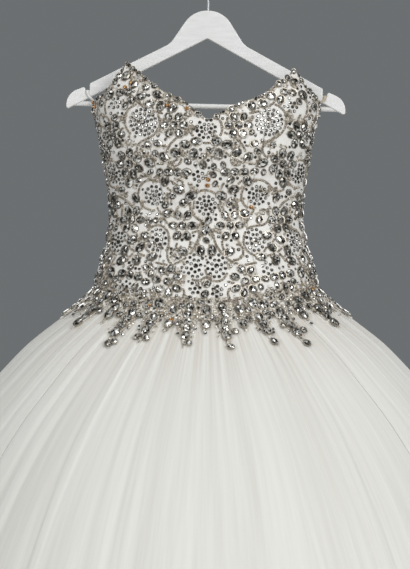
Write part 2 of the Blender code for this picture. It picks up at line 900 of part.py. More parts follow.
def hanger_outline():
    left_half = [Corner(corner.name, -corner.x, corner.drop, corner.radius) for corner in HANGER_RIGHT_HALF]
    corners = list(HANGER_RIGHT_HALF) + [HANGER_APEX] + list(reversed(left_half))
    points = []
    for number, corner in enumerate(corners):
        before = corners[number - 1]
        after = corners[(number + 1) % len(corners)]
        steps = 7 if corner.radius > 10 else 2
        points.extend(rounded(before, corner, after, steps))
    return points


def cylinder_between(name, start, end, radius, sides):
    """A plain round bar between two places in the hanger's plane, in millimetres."""
    ends = []
    for place in (start, end):
        turned = tilted(*place)
        ends.append(Vector((turned.x, 0, turned.y)))
    axis = ends[1] - ends[0]
    shape = bmesh.new()
    bmesh.ops.create_cone(
        shape,
        cap_ends=True,
        segments=sides,
        radius1=radius * MM,
        radius2=radius * MM,
        depth=axis.length * MM,
    )
    mesh = mesh_from_bmesh(name, shape)
    piece = bpy.data.objects.new(name, mesh)
    bpy.context.collection.objects.link(piece)
    piece.rotation_mode = "QUATERNION"
    piece.rotation_quaternion = axis.to_track_quat("Z", "Y")
    piece.location = (ends[0] + ends[1]) / 2 * MM
    return piece


def cut(piece, cutter):
    cutter.hide_render = True
    cutter.display_type = "WIRE"
    difference = piece.modifiers.new("Cut " + cutter.name, "BOOLEAN")
    difference.operation = "DIFFERENCE"
    difference.solver = "EXACT"
    difference.object = cutter


def hanger_body():
    shape = bmesh.new()
    front = []
    for point in hanger_outline():
        turned = tilted(point.x, -point.y)
        front.append(shape.verts.new((turned.x * MM, -HANGER_THICKNESS / 2 * MM, turned.y * MM)))
    face = shape.faces.new(front)
    extruded = bmesh.ops.extrude_face_region(shape, geom=[face])
    back = [item for item in extruded["geom"] if isinstance(item, bmesh.types.BMVert)]
    bmesh.ops.translate(shape, verts=back, vec=(0, HANGER_THICKNESS * MM, 0))
    finish = material("white_paint", (0.86, 0.86, 0.85), 0.35)
    body = add_object("hanger_body", mesh_from_bmesh("hanger_body", shape), finish)
    bevel = body.modifiers.new("Rounded edges", "BEVEL")
    bevel.width = HANGER_ROUNDING * MM
    bevel.segments = 1
    bevel.limit_method = "ANGLE"
    bevel.angle_limit = math.radians(60)
    socket_radius = BAR_RADIUS + SOCKET_CLEARANCE
    socket_reach = BAR_HALF_LENGTH + SOCKET_CLEARANCE
    start = (-socket_reach, -BAR_DROP)
    end = (socket_reach, -BAR_DROP)
    cut(body, cylinder_between("bar_socket_cutter", start, end, socket_radius, BAR_SIDES))
    crown = HANGER_RIGHT_HALF[0].drop
    top = (0, -crown + 5)
    bottom = (0, -crown - HOOK_SOCKET_DEPTH)
    socket = cylinder_between("hook_socket_cutter", bottom, top, WIRE_RADIUS + SOCKET_CLEARANCE, WIRE_SIDES)
    cut(body, socket)


def hanger_bar():
    start = (-BAR_HALF_LENGTH, -BAR_DROP)
    end = (BAR_HALF_LENGTH, -BAR_DROP)
    bar = cylinder_between("hanger_bar", start, end, BAR_RADIUS, BAR_SIDES)
    bar.data.materials.append(material("bar_paint", (0.84, 0.84, 0.83), 0.35))


def hook_path():
    """The wire's centre line: up the stem, a small bend aside, and round over the rod."""
    hook_centre = Vector((0, -(HOOK_RADIUS - WIRE_RADIUS)))
    between = HOOK_RADIUS + HOOK_BEND_RADIUS
    rise = math.sqrt(between ** 2 - HOOK_BEND_RADIUS ** 2)
    bend_centre = Vector((-HOOK_BEND_RADIUS, hook_centre.y - rise))
    touch = math.atan2(rise, HOOK_BEND_RADIUS)
    points = [Vector((0, -HOOK_STEM_BOTTOM)), Vector((0, bend_centre.y - 8))]
    bend_steps = 5
    for step in range(bend_steps):
        angle = touch * step / bend_steps
        points.append(bend_centre + HOOK_BEND_RADIUS * Vector((math.cos(angle), math.sin(angle))))
    start = math.pi + touch
    end = math.radians(HOOK_TIP_ANGLE)
    hook_steps = 20
    for step in range(hook_steps + 1):
        angle = start + (end - start) * step / hook_steps
        points.append(hook_centre + HOOK_RADIUS * Vector((math.cos(angle), math.sin(angle))))
    return points


def hanger_hook():
    path = hook_path()
    shape = bmesh.new()
    rings = []
    for number, point in enumerate(path):
        before = path[max(number - 1, 0)]
        after = path[min(number + 1, len(path) - 1)]
        along = (after - before).normalized()
        aside = Vector((along.y, -along.x))
        ring = []
        for side in range(WIRE_SIDES):
            turn = 2 * math.pi * side / WIRE_SIDES
            in_plane = tilted(*(point + aside * WIRE_RADIUS * math.cos(turn)))
            depth = WIRE_RADIUS * math.sin(turn)
            ring.append(shape.verts.new((in_plane.x * MM, depth * MM, in_plane.y * MM)))
        rings.append(ring)
    for ring, following in zip(rings, rings[1:]):
        for side in range(WIRE_SIDES):
            ahead = (side + 1) % WIRE_SIDES
            shape.faces.new((ring[side], ring[ahead], following[ahead], following[side]))
    shape.faces.new(list(reversed(rings[0])))
    shape.faces.new(rings[-1])
    finish = material("chromed_wire", (0.72, 0.72, 0.72), 0.2, 1.0)
    add_object("hanger_hook", mesh_from_bmesh("hanger_hook", shape), finish)


def loop_place(point, sign, face):
    """A point of the loop, between the turned hanger above and the gown below."""
    on_hanger = tilted(point.x * sign, -point.drop)
    on_gown = Vector((point.x * sign + GOWN_SHIFT, -point.drop))
    place = on_hanger.lerp(on_gown, float(np.interp(point.drop, LOOP_BLEND, (0, 1))))
    return Vector((place.x, point.y * face, place.y))


def hanger_loop(side, sign, finish):
    """A closed ribbon over a notch, down both faces of the arm and into the side seam."""
    front_half = [loop_place(point, sign, -1) for point in LOOP_HALF]
    back_half = [loop_place(point, sign, 1) for point in LOOP_HALF[1:-1]]
    path = front_half + list(reversed(back_half))
    shape = bmesh.new()
    rings = []
    width = Vector((1, 0, 0))
    for number, point in enumerate(path):
        before = path[number - 1]
        after = path[(number + 1) % len(path)]
        along = after - before
        along.x = 0
        normal = along.normalized().cross(width)
        ring = []
        for across, out in ((-1, -1), (1, -1), (1, 1), (-1, 1)):
            corner = point + width * across * LOOP_WIDTH / 2 + normal * out * LOOP_THICKNESS / 2
            ring.append(shape.verts.new(corner * MM))
        rings.append(ring)
    for ring, following in zip(rings, rings[1:] + rings[:1]):
        for corner in range(4):
            ahead = (corner + 1) % 4
            shape.faces.new((ring[corner], ring[ahead], following[ahead], following[corner]))
    name = f"hanger_loop_{side}"
    add_object(name, mesh_from_bmesh(name, shape), finish)


def hanger():
    hanger_body()
    hanger_bar()
    hanger_hook()
    for side, sign in (("left", -1), ("right", 1)):
        hanger_loop(side, sign, material(f"ribbon_{side}", (0.82, 0.77, 0.68), 0.6))


def main():
    clear_scene()
    hanger()
    bodice()
    skirt()


main()
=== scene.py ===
"""Looks of the beaded wedding dress on its hanger.

Sizes are in millimetres, on the same surface as the CAD. A level is a height at the side
seam, counted down from the inside top of the hook. A share is a place round the gown: 0 at
the centre front, 0.25 at a side seam, 0.5 at the centre back, and negative on the side that
is on the left when the gown is seen from the front.
"""

import math
import random
from collections import namedtuple

import bmesh
import bpy
import numpy as np
from mathutils import Matrix, Vector


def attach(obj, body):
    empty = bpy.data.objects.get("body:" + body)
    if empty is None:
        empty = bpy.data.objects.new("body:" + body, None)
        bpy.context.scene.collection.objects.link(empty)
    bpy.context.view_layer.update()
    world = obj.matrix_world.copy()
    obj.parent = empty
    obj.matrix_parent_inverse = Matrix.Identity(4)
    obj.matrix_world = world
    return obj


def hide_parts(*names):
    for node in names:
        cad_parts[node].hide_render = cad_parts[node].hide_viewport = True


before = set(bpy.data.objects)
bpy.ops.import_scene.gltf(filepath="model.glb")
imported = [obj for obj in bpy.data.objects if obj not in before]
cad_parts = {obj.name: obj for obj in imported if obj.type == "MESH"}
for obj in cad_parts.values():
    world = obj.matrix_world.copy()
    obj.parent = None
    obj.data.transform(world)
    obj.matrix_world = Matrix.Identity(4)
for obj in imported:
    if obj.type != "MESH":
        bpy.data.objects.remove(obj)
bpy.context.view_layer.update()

MM = 0.001
# Points of the surface that are worked out at once
CHUNK = 20000
# Steps of share and level that give the directions at a point
SHARE_STEP = 0.0015
LEVEL_STEP = 1.2

# The gown's rings, the same as in the CAD
Section = namedtuple("Section", "name level half_width front back")
SECTIONS = [Section(*row) for row in (
    ("peaks", 130, 165, 50, 56),
    ("side_top", 214, 179.5, 80, 66),
    ("over_bust", 250, 171, 86, 68),
    ("bust", 285, 165, 88, 68),
    ("under_bust", 335, 155.5, 78, 62),
    ("waist", 384, 151.5, 70, 62),
    ("high_hip", 430, 156.5, 84, 80),
    ("hip", 478, 172, 102, 100),
    ("seam", 505, 177.5, 110, 110),
    ("gathers", 525, 197, 122, 123),
    ("flare", 560, 243, 154, 157),
    ("shoulder", 594, 286, 189, 195),
    ("upper_dome", 635, 326, 230, 238),
    ("dome", 710, 392, 300, 312),
    ("wide_dome", 850, 481, 404, 421),
    ("low_dome", 1080, 594, 518, 543),
    ("hem", 1525, 725, 645, 680),
)]
QUARTER = 0.25
QUARTER_STEPS = 60
FRONT_DIP = 30
BACK_DIP = 12
DIP_LEVELS = (384, 478, 600, 949)
DIP_AMOUNTS = (0, 1, 1, 0)
SEAM_GAP = 0.3

# Bodice
SATIN_INSIDE = 1.2
SATIN_OUTSIDE = 3.0
LOWER_EDGE = 522
# The even rows end this far above the lower edge, and the rows that follow its points begin
EDGE_DROP = 18
BODY_ROWS = 44
EDGE_ROWS = 8
COLUMN_STEP = 0.0045
SEAM_LEVEL = 540
TOP_GUESS = 200.0
TOP_PASSES = 4
# Breadth of cloth for the whole way round, for the weave's coordinates
SATIN_ROUND = 800
# The ground of fine beads and their painted shade: fading bands along the edges, and less under the round
# fields
BAND_FADE = 8
NECK_FADE = 12
FIELD_ROOM = 2
FIELD_COVER = -0.15
NeckPoint = namedtuple("NeckPoint", "share left right")
FRONT_NECKLINE = [NeckPoint(*row) for row in (
    (0.000, 240, 240),
    (0.010, 233, 240),
    (0.025, 222, 230),
    (0.040, 212, 224),
    (0.053, 206, 218),
    (0.068, 201, 212),
    (0.083, 195, 209),
    (0.100, 185, 203),
    (0.115, 176, 196),
    (0.130, 167, 187),
    (0.143, 160, 179),
    (0.155, 154, 175),
    (0.165, 148, 169),
    (0.170, 145, 166),
    (0.175, 157, 163),
    (0.179, 167, 160),
    (0.184, 175, 157),
    (0.190, 180, 160),
    (0.196, 184, 178),
    (0.203, 194, 185),
    (0.211, 198, 191),
    (0.220, 200, 197),
    (0.228, 201, 199),
    (0.236, 205, 205),
    (0.241, 212, 214),
    (0.245, 215, 220),
    (0.250, 218, 224),
)]
BACK_NECKLINE = [NeckPoint(*row) for row in (
    (0.250, 218, 224),
    (0.300, 222, 227),
    (0.400, 229, 229),
    (0.500, 232, 232),
)]
SeamPoint = namedtuple("SeamPoint", "level share")
PRINCESS_SEAM = [SeamPoint(*row) for row in (
    (130, 0.128),
    (285, 0.110),
    (384, 0.088),
    (505, 0.097),
    (620, 0.097),
)]
Spray = namedtuple("Spray", "share tip half_width")
SPRAYS = [Spray(*row) for row in (
    (0.000, 541, 0.012),
    (0.027, 569, 0.014),
    (0.054, 543, 0.012),
    (0.080, 568, 0.013),
    (0.115, 577, 0.014),
    (0.145, 545, 0.013),
    (0.177, 563, 0.015),
    (0.205, 542, 0.011),
    (0.231, 554, 0.014),
    (0.269, 550, 0.014),
    (0.300, 566, 0.015),
    (0.331, 545, 0.013),
    (0.363, 572, 0.015),
    (0.396, 546, 0.013),
    (0.428, 570, 0.015),
    (0.458, 545, 0.012),
    (0.484, 563, 0.012),
)]
SPRAY_SHOULDER = 0.52
SPRAY_SHOULDER_DROP = 0.42

# Large crystals, at the places where the CAD raises them
CRYSTAL_HEIGHT = 4.0
STONE_SPACING = 2.5
Stone = namedtuple("Stone", "share level angle length width")
Rosette = namedtuple("Rosette", "share level petals radius")
ROSETTES = [Rosette(*row) for row in (
    (0.060, 250, 6, 15),
    (0.150, 196, 6, 14),
    (0.188, 262, 6, 16),
    (0.058, 322, 6, 14),
    (0.158, 308, 7, 17),
    (0.050, 402, 6, 15),
    (0.166, 396, 6, 15),
    (0.226, 372, 6, 15),
    (0.070, 472, 7, 17),
    (0.142, 474, 6, 14),
    (0.224, 458, 6, 14),
    (0.268, 306, 6, 15),
    (0.365, 318, 7, 17),
    (0.468, 296, 6, 15),
    (0.318, 350, 6, 14),
    (0.405, 392, 6, 16),
    (0.478, 372, 6, 14),
    (0.300, 464, 6, 15),
    (0.352, 428, 6, 14),
    (0.440, 462, 7, 17),
)]
# Round fields of small stones, where no large crystal lies
Medallion = namedtuple("Medallion", "share level radius")
MEDALLIONS = [Medallion(*row) for row in (
    (0.000, 256, 19),
    (0.120, 244, 24),
    (0.111, 358, 20),
    (0.000, 374, 19),
    (0.102, 422, 15),
    (0.205, 322, 18),
    (0.190, 430, 15),
    (0.020, 450, 14),
    (0.310, 268, 22),
    (0.418, 272, 22),
    (0.440, 346, 19),
    (0.280, 398, 18),
    (0.352, 380, 17),
    (0.380, 484, 16),
    (0.470, 418, 16),
)]
MEDALLION_MARGIN = 5
# Scrolls of leaf pairs: start, heading in degrees from level towards the side, bend and length
Scroll = namedtuple("Scroll", "share level heading bend length")
SCROLLS = [Scroll(*row) for row in (
    (0.012, 246, 80, -0.9, 96),
    (0.030, 282, 20, 1.5, 70),
    (0.150, 168, 100, 0.9, 90),
    (0.060, 214, -10, 1.2, 66),
    (0.140, 290, 75, -1.3, 120),
    (0.010, 404, 70, -1.0, 84),
    (0.110, 352, 95, 1.1, 96),
    (0.190, 372, 85, 1.0, 110),
    (0.235, 300, 95, -0.8, 90),
    (0.040, 470, 20, 0.9, 64),
    (0.120, 425, 40, 0.9, 60),
    (0.185, 450, 75, -0.8, 80),
    (0.270, 240, 70, -0.9, 110),
    (0.350, 250, 60, 1.1, 100),
    (0.470, 260, 110, -0.8, 110),
    (0.320, 330, 60, 1.1, 100),
    (0.440, 350, 80, -1.0, 90),
    (0.260, 352, 85, 0.9, 90),
    (0.330, 440, 20, 1.0, 80),
    (0.420, 480, 15, 0.8, 60),
)]
LEAF_STEP = 23
LEAF_LENGTH = 15
LEAF_WIDTH = 11.5
LEAF_SPLAY = 50
LEAF_OFFSET = 9.5
PETAL_LENGTH = 13
PETAL_WIDTH = 10.5
HEART_SIZE = 11
SPRAY_STONE_STEP = 17
FILL_SPACING = 46
FILL_LENGTHS = (12, 15)
FILL_WIDTH_SHARE = 0.8
FILL_JITTER = 0.2
FILL_ROW_STEP = 0.86
FILL_TOP = 160
FILL_START = 0.004
FILL_SEED = 21
CENTRE_REACH = 0.02

# Curls of bead cord between the stones, in the terms of the scrolls
CURLS = [Scroll(*row) for row in (
    (0.036, 262, 20, 2.2, 92),
    (0.152, 226, 60, -2.3, 96),
    (0.196, 206, 80, 2.2, 90),
    (0.080, 282, 200, 2.2, 96),
    (0.212, 356, 170, -2.2, 95),
    (0.036, 340, 120, -2.3, 90),
    (0.140, 376, 60, 2.3, 96),
    (0.066, 386, 150, -2.4, 90),
    (0.205, 470, 190, 2.3, 96),
    (0.122, 446, 20, -2.2, 96),
    (0.030, 496, 10, -2.0, 90),
    (0.090, 506, 170, 2.1, 84),
    (0.165, 500, 20, -2.1, 84),
    (0.235, 500, 160, 2.1, 84),
    (0.292, 300, 60, 2.3, 100),
    (0.352, 290, 170, -2.3, 100),
    (0.460, 320, 60, 2.3, 100),
    (0.320, 410, 40, -2.3, 100),
    (0.410, 430, 160, 2.2, 100),
    (0.480, 490, 170, -2.1, 90),
    (0.350, 500, 10, -2.1, 90),
)]
EXTRA_HEIGHT = 3.4
RAISED_GROWTH = 1.2
AMBER_LENGTH = 7.6
AMBER_WIDTH = 6.4
AMBER_ANGLE = 30.0
# Share and level of the single amber stones
AMBER_SPOTS = (
    (-0.148, 181),
    (-0.158, 188),
    (-0.236, 208),
    (-0.228, 215),
    (-0.070, 219),
    (-0.036, 224),
    (0.004, 334),
    (0.002, 343),
    (0.098, 377),
    (0.236, 387),
    (-0.095, 513),
    (-0.052, 529),
    (0.205, 505),
    (0.330, 300),
    (0.420, 240),
    (0.460, 460),
)
CORD_BEAD = 4.2
CORD_PITCH = 2.7
CORD_HEIGHT = 2.6
CORD_ROOM = 4.4
CORD_STEPS = 12
CORD_MARGIN = 4
LOWER_MARGIN_SHARE = 0.4
LEAST_BEND = 0.1
CORD_OVERLAP = 0.3
CORD_SEED = 19
HEART_STONE = 6.4
HEART_OVERLAP = 0.6
SPIRAL_BEND = 8.5
DEGREES_ROUND = 57.3
# A cord's stretches: length in millimetres, and degrees of bend for each
CordPart = namedtuple("CordPart", "length bend_start bend_end")
# How far round a field its cord runs, and how it leaves the field
CORD_TURNS = (0.5, 0.75)
LEAVING_LENGTH = 20
LEAVING_BEND = -1.6
FIELD_SPIRAL = CordPart(46, -2.6, -SPIRAL_BEND)
# The two stretches of a curl, in shares of its length and bend; the second ends in a spiral
CURL_START = CordPart(0.45, 0.4, 0.7)
CURL_END = CordPart(0.55, 0.9, None)

# Small stones
Grid = namedtuple("Grid", "pitch top bottom jitter")
GRID_ROW_STEP = 0.87
BAND_LEVEL = 488
STONE_MARGIN = 1.0
MEDALLION_PITCH = 6.8
MEDALLION_START = 0.8
MEDALLION_RING_STEP = 0.94
MEDALLION_TWIST = 9
MEDALLION_STONE = 5.9
MEDALLION_HEART = 8.5
MEDALLION_OVERLAP = 0.2
MEDALLION_MARGIN_BELOW = 4
FLOWER_GRID = Grid(14, 150, 525, 0.3)
FLOWER_SEED = 31
FLOWER_MARGIN = 9
FLOWER_PETALS = 6
FLOWER_RING = 7.6
FLOWER_STONE = 6.1
FLOWER_REACH = 10.4
# Stones along the neckline: the choice of sizes, and shares of a stone's size
BORDER_SEED = 5
BORDER_SIZES = (4.6, 5.4, 6.5, 9.5, 11.5)
BORDER_LARGE = 7
BORDER_END = 3.0
BORDER_DROP = 0.30
BORDER_STEP = 0.95
BORDER_WIDTH = 0.85
BORDER_OVERLAP = 0.8
BORDER_SMALL_OVERLAP = 0.4
BORDER_SHARE = 0.4995
BORDER_SHARE_STEP = 0.0005
# Bare patches, then plump ovals, then small stones
PATCH_GRID = Grid(34, 150, BAND_LEVEL, 0.35)
PATCH_SIZES = (6.5, 10)
PATCH_ROOM = 0.8
EXTRA_SEED = 53
EXTRA_GRID = Grid(6, 140, 545, 0.45)
EXTRA_LENGTHS = (11, 15.5)
EXTRA_WIDTHS = (0.72, 0.86)
EXTRA_SPACING = 0.1
EXTRA_BAND_GAPS = 0.3
SMALL_SEED = 47
SMALL_GRID = Grid(6.4, 146, 572, 0.2)
SMALL_SIZES = (4.8, 6.2)
SMALL_SHARE = 0.55
SMALL_SPACING = 0.1
BEIGE_SEED = 8
BEIGE_SHARE = 0.6
# The stones go this far below the satin's edge, but no lower than the level
FRINGE = 13
FRINGE_LEVEL = 550
GROUND_CELL = 17

# Pairs of leaves up a spray, in millimetres back from its tip and aside, and dots beside them
SPRAY_SEED = 77
SprayLeaf = namedtuple("SprayLeaf", "back side size")
SPRAY_LEAVES = [SprayLeaf(*row) for row in (
    (4, 2, 13),
    (13, 8, 12),
    (17, -8, 12),
    (27, 11, 12),
    (31, -10, 12),
    (40, 14, 12),
    (43, -12, 11),
    (52, 11, 11),
    (56, -15, 12),
)]
SPRAY_LEAF_TURN = 35
SPRAY_LEAF_WIDTH = 0.8
SPRAY_LEAF_GAPS = 0.15
SPRAY_SPACING = 0.2
SPRAY_ASIDE = (0.85, 1.15)
SPRAY_BACK = (0.8, 1.2)
SPRAY_TURN = (0.6, 1.4)
SPRAY_DOTS = 30
SPRAY_DOT_REACH = 17
SPRAY_DOT_BACK = (14, 62)
SPRAY_DOT_SIZES = (4, 5.4)

# Heights of the stones and how far out their feet are, then how they lean, and the shares of dark
# and mid facets, which leave the rest bright: the facets' painted reflections and glints
STONE_LIFT = SATIN_OUTSIDE - 0.3
CORD_LIFT = SATIN_OUTSIDE - 0.2
AMBER_LIFT = SATIN_OUTSIDE + 0.4
AMBER_HEIGHT = 3.6
FIELD_HEIGHT = 2.4
LOOSE_HEIGHT = 2.0
BEIGE_HEIGHT = 2.2
STONE_TILT = 6
BEAD_TILT = 12
TONE_SPREAD = 0.12
CLEAR_TONES = (0.35, 0.4)
FIELD_TONES = (0.5, 0.2)
BEIGE_TONES = (0.2, 0.4)
CORD_TONES = (0.3, 0.4)
# Every fifth long stone is a leaf. How pointed the outlines are, and how wide tables and rims
LEAF_EVERY = 5
LEAF_POINT = 1.25
OVAL_POINT = 0.95
RIM_POINT = 0.97
LEAF_TABLE = 0.55
STONE_TABLE = 0.58
RIM_REACH = 1.16
FITTED_RIM_REACH = 1.14

# Skirt
TULLE_WALL = 3.0
SKIRT_ROWS = 70
SKIRT_ROW_GROWTH = 1.7
# Width of each fold, its drift round the hem and its depths, as shares of the ordinary
FOLD_WIDTHS = (0.65, 1.35)
FOLD_DRIFT = 0.22
WAIST_DEPTHS = (0.55, 1.15)
HEM_DEPTHS = (0.35, 1.15)
# The skirt's cloth before gathering, for the length of the seam, and round the hem's folds
WAIST_SEAM = 505
WAIST_FULLNESS = 2.2
TULLE_ROUND = 4000
TULLE_PANEL_STEP = 10.0
SkirtPanel = namedtuple("SkirtPanel", "name folds start end")
SKIRT_PANELS = [SkirtPanel(*row) for row in (
    ("front", 18, -0.14, 0.14),
    ("side_left", 13, -0.345, -0.14),
    ("side_right", 13, 0.14, 0.345),
    ("back_left", 10, -0.5, -0.345),
    ("back_right", 10, 0.345, 0.5),
)]
SKIRT_TOP = 497
SKIRT_HEM = 1525
FoldDepth = namedtuple("FoldDepth", "level depth")
FOLD_DEPTHS = [FoldDepth(*row) for row in (
    (497, 1.5),
    (505, 3),
    (560, 5),
    (635, 7),
    (850, 9),
    (1525, 13),
)]
FoldPoint = namedtuple("FoldPoint", "across depth")
FOLD_POINTS = (FoldPoint(0.0, 1.0), FoldPoint(0.34, 0.10), FoldPoint(0.68, 0.0))
SEAM_VALLEY = 0.6
FOLD_SEED = 7
FINE_PER_FOLD = 3
POINTS_PER_FINE = 6
# The share of the CAD's fold depth that the soft outer layer shows
FOLD_SOFTNESS = 0.15
# Fine gathers: how strong and how far from even each is, and their depth below the seam
GATHER_SEED = 60
GATHER_STRENGTHS = (0.35, 1.3)
GATHER_WANDER = 0.25
GATHER_DEPTHS = [FoldDepth(*row) for row in (
    (497, 0.4),
    (512, 0.45),
    (545, 0.35),
    (600, 0.2),
    (700, 0.1),
    (900, 0.06),
    (1525, 0.05),
)]

# Hanger, turned about the hook with its right end lower, and the gown straight below it
HANGER_TILT = 1.35
GOWN_SHIFT = -4.6
Corner = namedtuple("Corner", "name x drop radius")
HANGER_RIGHT_HALF = [Corner(*row) for row in (
    ("crown", 24.0, 59.0, 43),
    ("neck", 59.2, 113.2, 32),
    ("notch_edge_in", 187.2, 180.5, 2.5),
    ("notch_floor_in", 187.2, 193.3, 3),
    ("notch_floor_out", 194.8, 193.3, 3),
    ("notch_edge_out", 194.8, 185.4, 2.5),
    ("tip_top", 224.3, 197.7, 26),
    ("tip_bottom", 224.3, 222.8, 3),
)]
HANGER_APEX = Corner("apex", 0, 103.7, 4)
HANGER_THICKNESS = 12
HANGER_ROUNDING = 1.5
# The side and the angle of each ring round the body's rounded edge
EDGE_TURNS = ((-1, 90), (-1, 60), (-1, 30), (-1, 0), (1, 0), (1, 30), (1, 60), (1, 90))
# Steps in an arc, more in one of a large radius
ARC_STEPS = 8
WIDE_ARC_STEPS = 20
WIDE_ARC_RADIUS = 10
WIRE_RADIUS = 1.75
HOOK_RADIUS = 20
HOOK_BEND_RADIUS = 9
HOOK_TIP_ANGLE = -35
HOOK_STEM_BOTTOM = 72
HOOK_STEM_ROOM = 8
HOOK_STEM_STEPS = 6
HOOK_BEND_STEPS = 14
HOOK_STEPS = 60
WIRE_SIDES = 16

LoopPoint = namedtuple("LoopPoint", "x y drop")
LOOP_HALF = [LoopPoint(*row) for row in (
    (191.0, 0.0, 191.6),
    (191.0, 5.4, 191.6),
    (190.9, 7.4, 193.3),
    (189.5, 7.7, 199.0),
    (183.0, 7.7, 205.0),
    (175.4, 7.0, 210.4),
    (173.4, 5.2, 218.0),
    (173.4, 3.2, 227.0),
    (173.4, 0.0, 232.0),
)]
LOOP_BLEND = (199, 218)
LOOP_WIDTH = 5
LOOP_THICKNESS = 0.9
LOOP_STEPS = 5
LOOP_SECTION = ((-1, -1), (1, -1), (1, 1), (-1, 1))

# Looks: colours, and a ramp as places from 0 to 1 with the colour at each
Bump = namedtuple("Bump", "strength distance")
Grain = namedtuple("Grain", "stretch scale detail bump")
Streak = namedtuple("Streak", "lean width length detail weight")
BLACK = (0, 0, 0)
WHITE = (1, 1, 1)
EVEN = (1, 1, 1)
# Satin from its painted shade to its light colour over the puckers, from the noise that also bumps them
SATIN_LIGHT = (0.92, 0.905, 0.865)
SATIN_SHADE = (0.82, 0.795, 0.745)
SATIN_PUCKER_SHADING_TONES = ((0.3, SATIN_SHADE), (0.55, SATIN_LIGHT))
SATIN_ROUGHNESS = 0.42
SATIN_SHEEN = 0.15
WEAVE_STRETCH = (1.6, 0.5, 1)
PUCKER_STRETCH = (0.05, 0.05, 1)
WEAVE_BUMP = Bump(0.25, 0.0002)
BEAD_BUMP = Bump(0.35, 0.0008)
PUCKER_BUMP = Bump(0.4, 0.0015)
GROUND_BEAD = 2.4
GROUND_PATCH = 19
GROUND_START = 0.535
GROUND_BLEND = 0.05
GROUND_WEIGHT = 0.35
# Tones of the fine beads from near black to near white; the dark end is partly painted shade among the
# beads and stones
GROUND_BEAD_AND_SHADE_TONES = (
    (0.0, (0.10, 0.08, 0.06)),
    (0.3, (0.32, 0.27, 0.20)),
    (0.55, (0.48, 0.43, 0.35)),
    (0.8, (0.66, 0.63, 0.58)),
    (1.0, (0.9, 0.89, 0.87)),
)
# The tulle's tones along its streaks: painted shade and light of its soft folds and overlapping net, from
# the same noise as their bumps
TULLE_MID = (0.845, 0.835, 0.785)
TULLE_FOLD_SHADING_TONES = ((0.38, (0.785, 0.77, 0.715)), (0.5, TULLE_MID), (0.6, (0.885, 0.875, 0.825)))
TULLE_ROUGHNESS = 0.9
TULLE_SHEEN = 0.2
TULLE_SHEEN_ROUGHNESS = 0.6
# Painted beige shadow between the fine gathers just below the bodice: its colour, its mask from the
# streaks, the streaks' weights in it, and the levels over which it fades out
GATHER_PAINTED_SHADOW = (0.66, 0.61, 0.54)
GATHER_SHADOW_MASK_TONES = ((0.40, (0.8, 0.8, 0.8)), (0.62, BLACK))
GATHER_SHADOW_WEIGHTS = (0.7, 0.3)
GATHER_SHADOW_LEVELS = (508, 660)
STREAKS = {
    "broad": Streak(0.02, 70, 900, 1.0, 0.34),
    "left": Streak(0.075, 16, 420, 2.0, 0.28),
    "right": Streak(-0.06, 13, 360, 2.0, 0.24),
    "fine": Streak(0.0, 3.6, 260, 3.0, 0.14),
}
# What sets the streaks of one panel, and of one kind, apart from the others
STREAK_PANEL_SHIFT = 0.1
STREAK_KIND_SHIFT = 10
FINE_BUMP = Bump(0.2, 0.0006)
LEANING_BUMP = Bump(0.25, 0.002)
BROAD_BUMP = Bump(0.25, 0.006)
# Glass tones from dark to bright, one for each facet: painted reflections and glints on the cut stones
FOIL_REFLECTION_TONES = (
    (0.0, (0.012, 0.013, 0.013)),
    (0.45, (0.18, 0.165, 0.135)),
    (0.7, (0.43, 0.415, 0.37)),
    (1.0, (0.97, 0.96, 0.92)),
)
STRASS_REFLECTION_TONES = (
    (0.0, (0.015, 0.015, 0.014)),
    (0.45, (0.17, 0.15, 0.12)),
    (0.7, (0.44, 0.42, 0.37)),
    (1.0, (0.96, 0.95, 0.91)),
)
# Bead and amber colours, from dark to bright one for each facet: their own colour with painted reflections
# and glints
BRONZE = ((0.0, (0.16, 0.125, 0.09)), (0.5, (0.33, 0.28, 0.215)), (1.0, (0.62, 0.56, 0.47)))
BEIGE = ((0.0, (0.26, 0.21, 0.15)), (0.5, (0.52, 0.46, 0.37)), (1.0, (0.86, 0.82, 0.73)))
AMBER = ((0.0, (0.16, 0.05, 0.01)), (0.5, (0.46, 0.20, 0.05)), (1.0, (0.86, 0.55, 0.22)))
Glass = namedtuple("Glass", "name tones roughness metallic", defaults=(0.35,))
CLEAR_GLASS = Glass("cut_crystal", FOIL_REFLECTION_TONES, 0.13, 0.55)
SMALL_GLASS = Glass("small_crystal", STRASS_REFLECTION_TONES, 0.16, 0.5)
BRONZE_BEADS = Glass("bead_cord", BRONZE, 0.34)
AMBER_GLASS = Glass("amber_glass", AMBER, 0.15)
BEIGE_BEADS = Glass("beige_beads", BEIGE, 0.3)
GLASS_BASE = (0.6, 0.6, 0.6)
GLASS_COAT = 0.4
GLASS_COAT_ROUGHNESS = 0.05
RIM_COLOUR = (0.40, 0.36, 0.30)
RIM_ROUGHNESS = 0.32
WIRE_COLOUR = (0.42, 0.42, 0.43)
WIRE_ROUGHNESS = 0.3
METAL_WEAR = (0.7, 1.5)
PAINT_COLOUR = (0.87, 0.87, 0.86)
PAINT_TONES = ((0.3, (0.82, 0.82, 0.805)), (0.7, (0.90, 0.90, 0.89)))
PAINT_ROUGHNESS = 0.3
PAINT_COAT = 0.3
PAINT_COAT_ROUGHNESS = 0.15
PAINT_WEAR_STRETCH = (1, 6, 6)
PAINT_WEAR_SCALE = 30
PAINT_WEAR_DETAIL = 4
RIBBON_ROUGHNESS = 0.55
RIBBON_SHEEN = 0.2
Ribbon = namedtuple("Ribbon", "side sign material colour darker")
RIBBONS = (
    Ribbon("left", -1, "ribbon_white", (0.84, 0.83, 0.80), (0.74, 0.73, 0.70)),
    Ribbon("right", 1, "ribbon_beige", (0.66, 0.55, 0.42), (0.50, 0.40, 0.29)),
)
